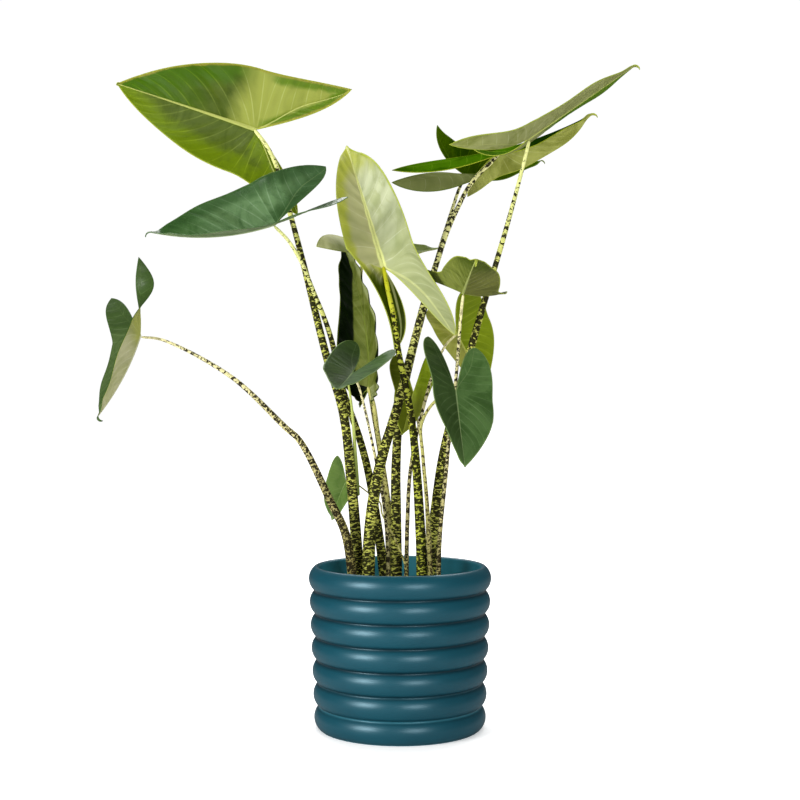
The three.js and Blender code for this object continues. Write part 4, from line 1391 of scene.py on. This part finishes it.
# Upper and lower face of each kind of leaf
BLADE_FINISHES: dict[BladeLook, tuple[BladeFinish, BladeFinish]] = {
    BladeLook.BACKLIT: (
        BladeFinish((88, 118, 24), (66, 98, 8), (188, 198, 104), YELLOW_RIM),
        BladeFinish((84, 101, 24), (66, 84, 8), (196, 202, 112), (164, 172, 44), (
            Tint((70, 104, 0), 0.85, -1, 60.0, 130.0), Tint((108, 132, 2), 0.8, 1, margin=34.0),
            Tint((68, 106, 0), 0.9, -1, margin=34.0), Tint((158, 166, 72), 0.95, -1, 56.0, 18.0),
            Tint((88, 122, 4), 0.9, -1, 10.0, -20.0, 15.0, 0.5), Tint((158, 150, 60), 0.8, -1, margin=4.0)),
            lobe_rib=0.8, see_through=0.3)),
    BladeLook.DARK_GLOSSY: (
        # The pale ground is partly the leaf's own green and partly painted sheen, in patches against the deep
        # colour.
        BladeFinish((108, 142, 94), (56, 94, 44), (140, 164, 110), (70, 104, 48), (
            Tint((40, 72, 26), 0.7, -1), Tint((64, 106, 44), 0.7, 0, 60.0, 120.0),
            Tint((44, 82, 32), 0.75, 1, margin=20.0), Tint((70, 104, 62), 0.5, 1, -10.0, -50.0)),
            folds=0.7, gloss=0.7, roughness=0.26),
        BladeFinish((126, 146, 102), (96, 124, 66), (176, 190, 148), (120, 148, 84))),
    BladeLook.FAR_LEFT: (
        BladeFinish((84, 106, 58), (44, 74, 20), (84, 108, 50), (56, 88, 30), (
            Tint((58, 82, 34), 0.85, 0, 0.0, -24.0),), gloss=0.3),
        BladeFinish((196, 194, 150), (176, 178, 122), (212, 212, 174), YELLOW_RIM, (
            Tint((166, 172, 62), 0.75, 0, 30.0, 0.0),))),
    BladeLook.CREAM_UNDER: (
        BladeFinish((110, 132, 56), (88, 112, 34), (188, 200, 120), YELLOW_RIM),
        BladeFinish((203, 209, 172), (176, 184, 134), (230, 234, 156), (196, 204, 92), (
            Tint((188, 186, 136), 0.9, 1), Tint((180, 186, 62), 0.9, 1, margin=24.0),
            Tint((50, 64, 0), 1.0, 1, 2.0, -20.0), Tint((182, 187, 74), 0.85, 0, 124.0, 172.0),
            Tint((164, 178, 50), 0.85, -1, margin=4.0), Tint((160, 167, 116), 0.9, -1, 64.0, -36.0)),
            deep_share=0.75, painted_vein_gap_shade=0.22, folds=0.5, rib_width=2.3, vein_share=0.8, gloss=0.06,
            see_through=0.12)),
    BladeLook.OLIVE_UNDER: (
        BladeFinish((66, 108, 14), (44, 84, 4), (176, 188, 100), YELLOW_RIM, gloss=0.0),
        BladeFinish((152, 156, 98), (118, 126, 58), (176, 184, 100), (150, 164, 56), (
            Tint((84, 122, 4), 0.95, -1, 10.0, 50.0),), gloss=0.03)),
    BladeLook.ROOF: (
        BladeFinish((72, 116, 6), (44, 84, 0), (140, 160, 50), (164, 176, 50), (
            Tint((8, 36, 0), 0.95, 1, 0.0, 40.0),), gloss=0.0),
        BladeFinish((172, 176, 92), (130, 136, 54), (180, 186, 92), (160, 170, 58), (
            Tint((112, 114, 60), 0.8, 0, -20.0, -60.0),), gloss=0.05)),
    BladeLook.DEEP_GREEN: (
        BladeFinish((60, 88, 0), (34, 66, 0), (110, 130, 44), (104, 126, 36), (
            Tint((138, 146, 88), 0.95, 1, 14.0, -16.0),), gloss=0.0),
        BladeFinish((100, 112, 46), (76, 92, 26), (146, 158, 92), (130, 146, 66))),
    BladeLook.HOOD: (
        BladeFinish((214, 214, 158), (184, 188, 126), (206, 208, 150), (160, 168, 88), (
            Tint((92, 112, 14), 0.95, 0, 40.0, 70.0),), gloss=0.03),
        BladeFinish((142, 148, 88), (110, 120, 54), (180, 186, 122), (150, 160, 84))),
    BladeLook.SHADED: (
        # Painted deep shade: the dark upper face, and the dark tint near the edge of the right half of the
        # under face.
        BladeFinish((20, 34, 0), (10, 22, 0), (60, 74, 24), (60, 74, 24), gloss=0.03),
        BladeFinish((118, 127, 58), (82, 97, 22), (124, 138, 56), (108, 122, 42), (
            Tint((170, 178, 122), 0.7, -1, margin=16.0), Tint((6, 18, 0), 1.0, 1, margin=25.0, soft=0.14)),
            vein_share=0.3, folds=0.7, gloss=0.05)),
    BladeLook.TWO_TONE: (
        BladeFinish((100, 120, 22), (78, 98, 8), (170, 180, 96), (150, 162, 70), gloss=0.05),
        BladeFinish((160, 162, 74), (132, 138, 44), (180, 186, 88), (150, 160, 52), (
            Tint((114, 134, 8), 0.92, 1),), gloss=0.05)),
    BladeLook.BLUE_GREEN: (
        BladeFinish((86, 118, 64), (58, 90, 38), (140, 162, 108), (120, 146, 84), (
            Tint((38, 52, 16), 0.6, 1), Tint((86, 116, 62), 0.5, 0, 60.0, 100.0)), vein_share=0.6,
            gloss=0.14, roughness=0.38),
        BladeFinish((108, 126, 76), (84, 104, 46), (150, 166, 108), (120, 140, 76))),
    BladeLook.CUPPED: (
        BladeFinish((84, 98, 20), (62, 76, 6), (160, 172, 92), YELLOW_RIM, gloss=0.05),
        BladeFinish((130, 140, 62), (76, 90, 16), (170, 180, 104), (150, 160, 66), (
            Tint((108, 110, 52), 0.8, -1), Tint((60, 80, 4), 0.7, 0, 50.0, 95.0)), gloss=0.06)),
    BladeLook.LOBE_PAIR: (
        BladeFinish((160, 184, 40), (136, 162, 20), (170, 180, 76), (160, 172, 60), (
            Tint((76, 84, 14), 0.92, 1), Tint((118, 120, 50), 0.7, -1, -20.0, 16.0)), gloss=0.05),
        BladeFinish((120, 130, 56), (86, 98, 24), (164, 174, 104), (150, 160, 70))),
    BladeLook.LOW: (
        BladeFinish((104, 132, 62), (74, 106, 38), (150, 170, 108), (120, 146, 76), (
            # Painted sheen towards the tip of the upper face.
            Tint((176, 190, 140), 0.8, 0, 50.0, 84.0),), gloss=0.2),
        BladeFinish((108, 126, 76), (84, 104, 46), (150, 166, 108), (120, 140, 76))),
}


@dataclass(frozen=True)
class StalkFinish:
    """Stalk skin: a green or beige ground with jagged black-brown marks across it.

    Cover is the share of the skin under marks, low and at the top, and falls over fade_length. Mark sizes
    are in millimetres, and there are few marks within bare_top of the blade.
    """

    ground_low: Colour
    ground_top: Colour
    mark: Colour = (8, 5, 0)
    cover_low: float = 0.66
    cover_top: float = 0.46
    fade_length: float = 420.0
    mark_height: float = 3.0
    mark_width: float = 5.2
    bare_top: float = 12.0
    roughness: float = 0.5
    moss: Colour = (96, 104, 40)

    def material(self, name: str) -> Material:
        """Marks are where a noise on the skin, squeezed along the stalk, passes a level that falls upwards.

        Args:
            name: name of the material.

        Returns:
            The material.
        """
        noise_spread = 0.34
        nodes = MaterialNodes(name)
        skin = nodes.attribute("skin")
        x, y, along = nodes.split(skin)
        share = nodes.span(along, 0.0, self.fade_length)
        closer = nodes.math("MULTIPLY_ADD", along, 0.0009, 0.75)
        rows = nodes.times(closer, nodes.math("DIVIDE", along, self.mark_height))
        spot = nodes.join(nodes.times(x, 1 / self.mark_width), nodes.times(y, 1 / self.mark_width), rows)
        blotch = nodes.noise(spot, 0.85, 3.0, 0.55, 0.6)
        top_level = 0.5 + noise_spread * (0.5 - self.cover_top)
        fall = noise_spread * (self.cover_top - self.cover_low)
        level = nodes.math("MULTIPLY_ADD", share, fall, top_level)
        mark = nodes.span(blotch, nodes.math("SUBTRACT", level, 0.006), nodes.math("ADD", level, 0.008))
        mark = nodes.times(mark, nodes.span(along, self.bare_top * 0.4, self.bare_top, 0.25, 1.0))
        ground = nodes.mix(share, self.ground_top, self.ground_low)
        ground = nodes.mix(nodes.span(nodes.noise(skin, 0.05, 3.0), 0.35, 0.75, 0.0, 0.35), ground, self.moss)
        colour = nodes.mix(nodes.times(mark, 0.96), ground, self.mark)
        height = nodes.math("ADD", nodes.noise(spot, 4.0, 2.0), nodes.times(mark, 0.5))
        rough = nodes.span(mark, 0.0, 1.0, self.roughness, self.roughness + 0.1)
        bump = (height, 0.15, 0.0004)
        return nodes.done(nodes.surface(colour, rough, bump, IOR=1.42, Specular_IOR_Level=0.1))


@dataclass(frozen=True)
class PotGlaze:
    """Satin teal glaze: painted shade in the grooves, painted light on the inner wall, with fine mottling.

    Heights and radii are in metres. Groove is the share of the pitch that the painted groove shade covers.
    """

    body: Colour = (6, 68, 82)
    deep: Colour = (2, 54, 68)
    worn: Colour = (34, 92, 106)
    # Painted shade in the grooves between the rings.
    groove_shade: Colour = (0, 22, 30)
    # Painted light: the paler glaze of the inner wall.
    inside: Colour = (46, 128, 146)
    sheen: tuple[float, ...] = (0.6, 0.88, 1.0, 1.0)
    ring_pitch: float = 0.029
    groove: float = 0.16
    rim_heights: tuple[float, float] = (0.185, 0.192)
    inner_radii: tuple[float, float] = (0.100, 0.1045)

    def material(self) -> Material:
        """Glaze colour from two noises, painted shade by the height above the nearest groove, painted light
        on the inner wall, and a fine orange peel.

        Returns:
            The material.
        """
        nodes = MaterialNodes("teal_glaze")
        place = nodes.place()
        height = nodes.split(place)[2]
        cloud, grain = nodes.noise(place, 9.0, 3.0), nodes.noise(place, 900.0, 2.0)
        colour = nodes.mix(nodes.span(cloud, 0.35, 0.7, 0.0, 0.35), self.body, self.deep)
        colour = nodes.mix(nodes.span(grain, 0.55, 0.8, 0.0, 0.15), colour, self.worn)
        # Painted shade: darker near each groove, below the rim.
        from_groove = nodes.from_whole(nodes.math("DIVIDE", height, self.ring_pitch))
        below_rim = nodes.span(height, *self.rim_heights, 0.85, 0.0)
        groove_shade_mask = nodes.times(nodes.span(from_groove, 0.0, self.groove, 1.0, 0.0), below_rim)
        colour = nodes.mix(groove_shade_mask, colour, self.groove_shade)
        # Painted light on the inner wall, inside inner_radii.
        radius = nodes.length(nodes.scaled(place, (1.0, 1.0, 0.0)))
        colour = nodes.mix(nodes.span(radius, *self.inner_radii, 0.9, 0.0), colour, self.inside)
        rough, peel = nodes.span(grain, 0.3, 0.7, 0.34, 0.38), nodes.noise(place, 260.0, 2.0)
        return nodes.done(nodes.surface(colour, rough, (peel, 0.06, 0.0004), IOR=1.45, Specular_IOR_Level=0.9,
                                     Specular_Tint=self.sheen))


@dataclass(frozen=True)
class SoilFinish:
    """Dark damp potting soil with pale bark and fibre flecks."""

    dark: Colour = (38, 28, 20)
    light: Colour = (84, 62, 44)
    fleck: Colour = (150, 128, 96)

    def material(self) -> Material:
        """Crumb colour from a noise, with flecks in some voronoi cells and a coarse bump.

        Returns:
            The material.
        """
        nodes = MaterialNodes("potting_soil")
        place = nodes.place()
        cell = nodes.add("ShaderNodeTexVoronoi", {"Vector": place, "Scale": 420.0}).outputs
        shade, pick = nodes.noise(place, 90.0, 4.0, 0.6), nodes.split(cell["Color"])[0]
        colour = nodes.mix(shade, self.dark, self.light)
        colour = nodes.mix(nodes.span(pick, 0.90, 0.94, 0.0, 0.8), colour, self.fleck)
        rough = nodes.span(shade, 0.3, 0.7, 0.85, 0.98)
        return nodes.done(nodes.surface(colour, rough, (cell["Distance"], 0.8, 0.002)))


@dataclass(frozen=True)
class NewLeafFinish:
    """Smooth pale green skin of the rolled leaf, darker at its foot."""

    pale: Colour = (176, 188, 96)
    green: Colour = (120, 140, 56)
    green_length: float = 90.0

    def material(self) -> Material:
        """Pale green with lengthwise streaks from a stretched noise.

        Returns:
            The material.
        """
        nodes = MaterialNodes("rolled_leaf_skin")
        skin = nodes.attribute("skin")
        streak = nodes.noise(nodes.scaled(skin, (1.0, 1.0, 0.06)), 1.6, 3.0)
        along = nodes.span(nodes.split(skin)[2], 0.0, self.green_length)
        colour = nodes.mix(along, self.green, self.pale)
        colour = nodes.mix(nodes.span(streak, 0.45, 0.7, 0.0, 0.4), colour, self.green)
        rough = nodes.span(streak, 0.3, 0.7, 0.38, 0.5)
        return nodes.done(nodes.surface(colour, rough, (streak, 0.1, 0.0003), IOR=1.42))


STALK_SKINS: dict[StalkLook, StalkFinish] = {
    StalkLook.ZEBRA: StalkFinish((186, 188, 86), (238, 234, 168)),
    StalkLook.YELLOW_TOP: StalkFinish((178, 184, 66), (176, 176, 30), cover_top=0.10, fade_length=130.0,
                                      bare_top=40.0),
    StalkLook.BARE_TOP: StalkFinish((186, 188, 86), (224, 226, 150), cover_top=0.26, fade_length=240.0,
                                    bare_top=36.0),
    StalkLook.FINE: StalkFinish((156, 146, 86), (226, 218, 164), (20, 13, 4), 0.64, 0.42, mark_height=2.6,
                                mark_width=3.6, bare_top=34.0),
    StalkLook.PALE: StalkFinish((150, 144, 84), (196, 192, 114), (44, 30, 14), 0.50, 0.26, 300.0, 2.4, 2.8),
}


# Studio: camera, lights and floor


@dataclass(frozen=True)
class Softbox:
    """A soft rectangular light, aimed at a point. Places and sizes are in metres."""

    name: str
    place: Point
    aim: Point
    width: float
    height: float
    power: float

    def make(self) -> None:
        """Adds the area light and turns it towards its aim."""
        lamp = bpy.data.lights.new(self.name, "AREA")
        lamp.shape, lamp.size, lamp.size_y, lamp.energy = "RECTANGLE", self.width, self.height, self.power
        holder = bpy.data.objects.new(self.name, lamp)
        holder.location = self.place
        holder.rotation_euler = (Vector(self.aim) - Vector(self.place)).to_track_quat("-Z", "Y").to_euler()
        bpy.context.scene.collection.objects.link(holder)


@dataclass(frozen=True)
class Studio:
    """White studio of the photograph, in metres and radians."""

    camera_place: Point = (0.0, -1.804, 0.429)
    pitch_down: float = 0.0092
    lens: float = 64.386
    sensor: float = 36.0
    floor_size: float = 30.0
    surround: float = 0.42
    reflected: float = 0.06
    backdrop: float = 1.02
    softboxes: tuple[Softbox, ...] = (
        Softbox("key_left", (-1.4, -1.3, 0.75), (0, 0, 0.35), 0.8, 0.8, 29.0),
        Softbox("key_right", (0.7, -1.95, 0.75), (0, 0, 0.35), 0.8, 0.8, 16.0),
        Softbox("top_back", (0.0, 1.1, 1.9), (0, 0, 0.6), 2.0, 1.2, 40.0))

    def build(self) -> None:
        """Makes the camera, the lights, the white surround and the floor."""
        scene = bpy.context.scene
        lens = bpy.data.cameras.new("photo_camera")
        lens.lens, lens.sensor_width, lens.clip_end = self.lens, self.sensor, 100.0
        camera = bpy.data.objects.new("photo_camera", lens)
        camera.location = self.camera_place
        camera.rotation_euler = (math.pi / 2 - self.pitch_down, 0, 0)
        scene.collection.objects.link(camera)
        scene.camera = camera
        scene.view_settings.view_transform = "Standard"
        for softbox in self.softboxes:
            softbox.make()
        self.white_surround(scene)
        self.floor()

    def white_surround(self, scene: bpy.types.Scene) -> None:
        """White world: full to the camera, weaker as light, and weakest in reflections.

        Args:
            scene: the scene that gets the world.
        """
        world = bpy.data.worlds.new("studio")
        scene.world = world
        world.use_nodes = True
        world.node_tree.nodes.clear()
        nodes = Nodes(world.node_tree)
        ray = nodes.add("ShaderNodeLightPath").outputs
        lit = nodes.math("MULTIPLY_ADD", ray["Is Glossy Ray"], self.reflected - self.surround, self.surround)
        more = nodes.math("SUBTRACT", self.backdrop, lit)
        strength = nodes.math("MULTIPLY_ADD", ray["Is Camera Ray"], more, lit)
        back = nodes.add("ShaderNodeBackground", {"Color": (1, 1, 1, 1), "Strength": strength})
        nodes.add("ShaderNodeOutputWorld", {"Surface": back.outputs[0]})

    def floor(self) -> None:
        """Plain white floor that glows a little away from the pot, as a lit white sweep does."""
        half = self.floor_size / 2
        corners = [(-half, -half, 0), (half, -half, 0), (half, half, 0), (-half, half, 0)]
        mesh = bpy.data.meshes.new("floor")
        mesh.from_pydata(corners, [], [(0, 1, 2, 3)])
        nodes = MaterialNodes("white_floor")
        ray = nodes.add("ShaderNodeLightPath").outputs
        away = nodes.span(nodes.length(nodes.place()), 0.10, 0.26, 0.35, 1.0)
        bounced = nodes.math("MULTIPLY_ADD", ray["Is Glossy Ray"], -0.15, 0.2)
        glow = nodes.math("MAXIMUM", nodes.times(ray["Is Camera Ray"], away), bounced)
        pale = nodes.math("MULTIPLY_ADD", ray["Is Glossy Ray"], -0.7, 0.9)
        shader = nodes.add("ShaderNodeBsdfPrincipled", {
            "Base Color": pale, "Roughness": 0.9, "Emission Color": (1, 1, 1, 1), "Emission Strength": glow})
        mesh.materials.append(nodes.done(shader.outputs[0]))
        plane = bpy.data.objects.new("floor", mesh)
        bpy.context.scene.collection.objects.link(plane)


def place_piece(piece: Piece, node: str) -> None:
    """Puts a piece in the place of a CAD node and reports its triangles.

    Args:
        piece: the piece.
        node: name of the CAD node.
    """
    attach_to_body(piece, "root")
    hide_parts(node)
    triangles = sum(len(polygon.vertices) - 2 for polygon in piece.data.polygons)
    log.info("%s stands for %s: %d triangles", piece.name, node, triangles)


def main() -> None:
    """Builds the studio, the pot, the soil and every leaf."""
    logging.basicConfig(level=logging.INFO, format="%(message)s")
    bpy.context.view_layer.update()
    Studio().build()
    pot, soil = Pot(), Soil()
    place_piece(pot.mesh(PotGlaze().material()), "pot")
    place_piece(soil.mesh(pot, SoilFinish().material()), "soil")
    pattern = leaf_pattern_group()
    faces = {look: [finish.material(f"{side}_{look.value}", pattern)
                    for side, finish in zip(("upper", "under"), pair)]
             for look, pair in BLADE_FINISHES.items()}
    skins = {look: finish.material(look.value) for look, finish in STALK_SKINS.items()}
    for leaf in LEAVES:
        place_piece(Blade(leaf).mesh(*faces[leaf.look]), "leaf_" + leaf.name)
        place_piece(Stalk(leaf).mesh(skins[leaf.skin]), "stalk_" + leaf.name)
    place_piece(NewLeaf().mesh(NewLeafFinish().material()), "spear")
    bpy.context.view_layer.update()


if __name__ == "__main__":
    main()
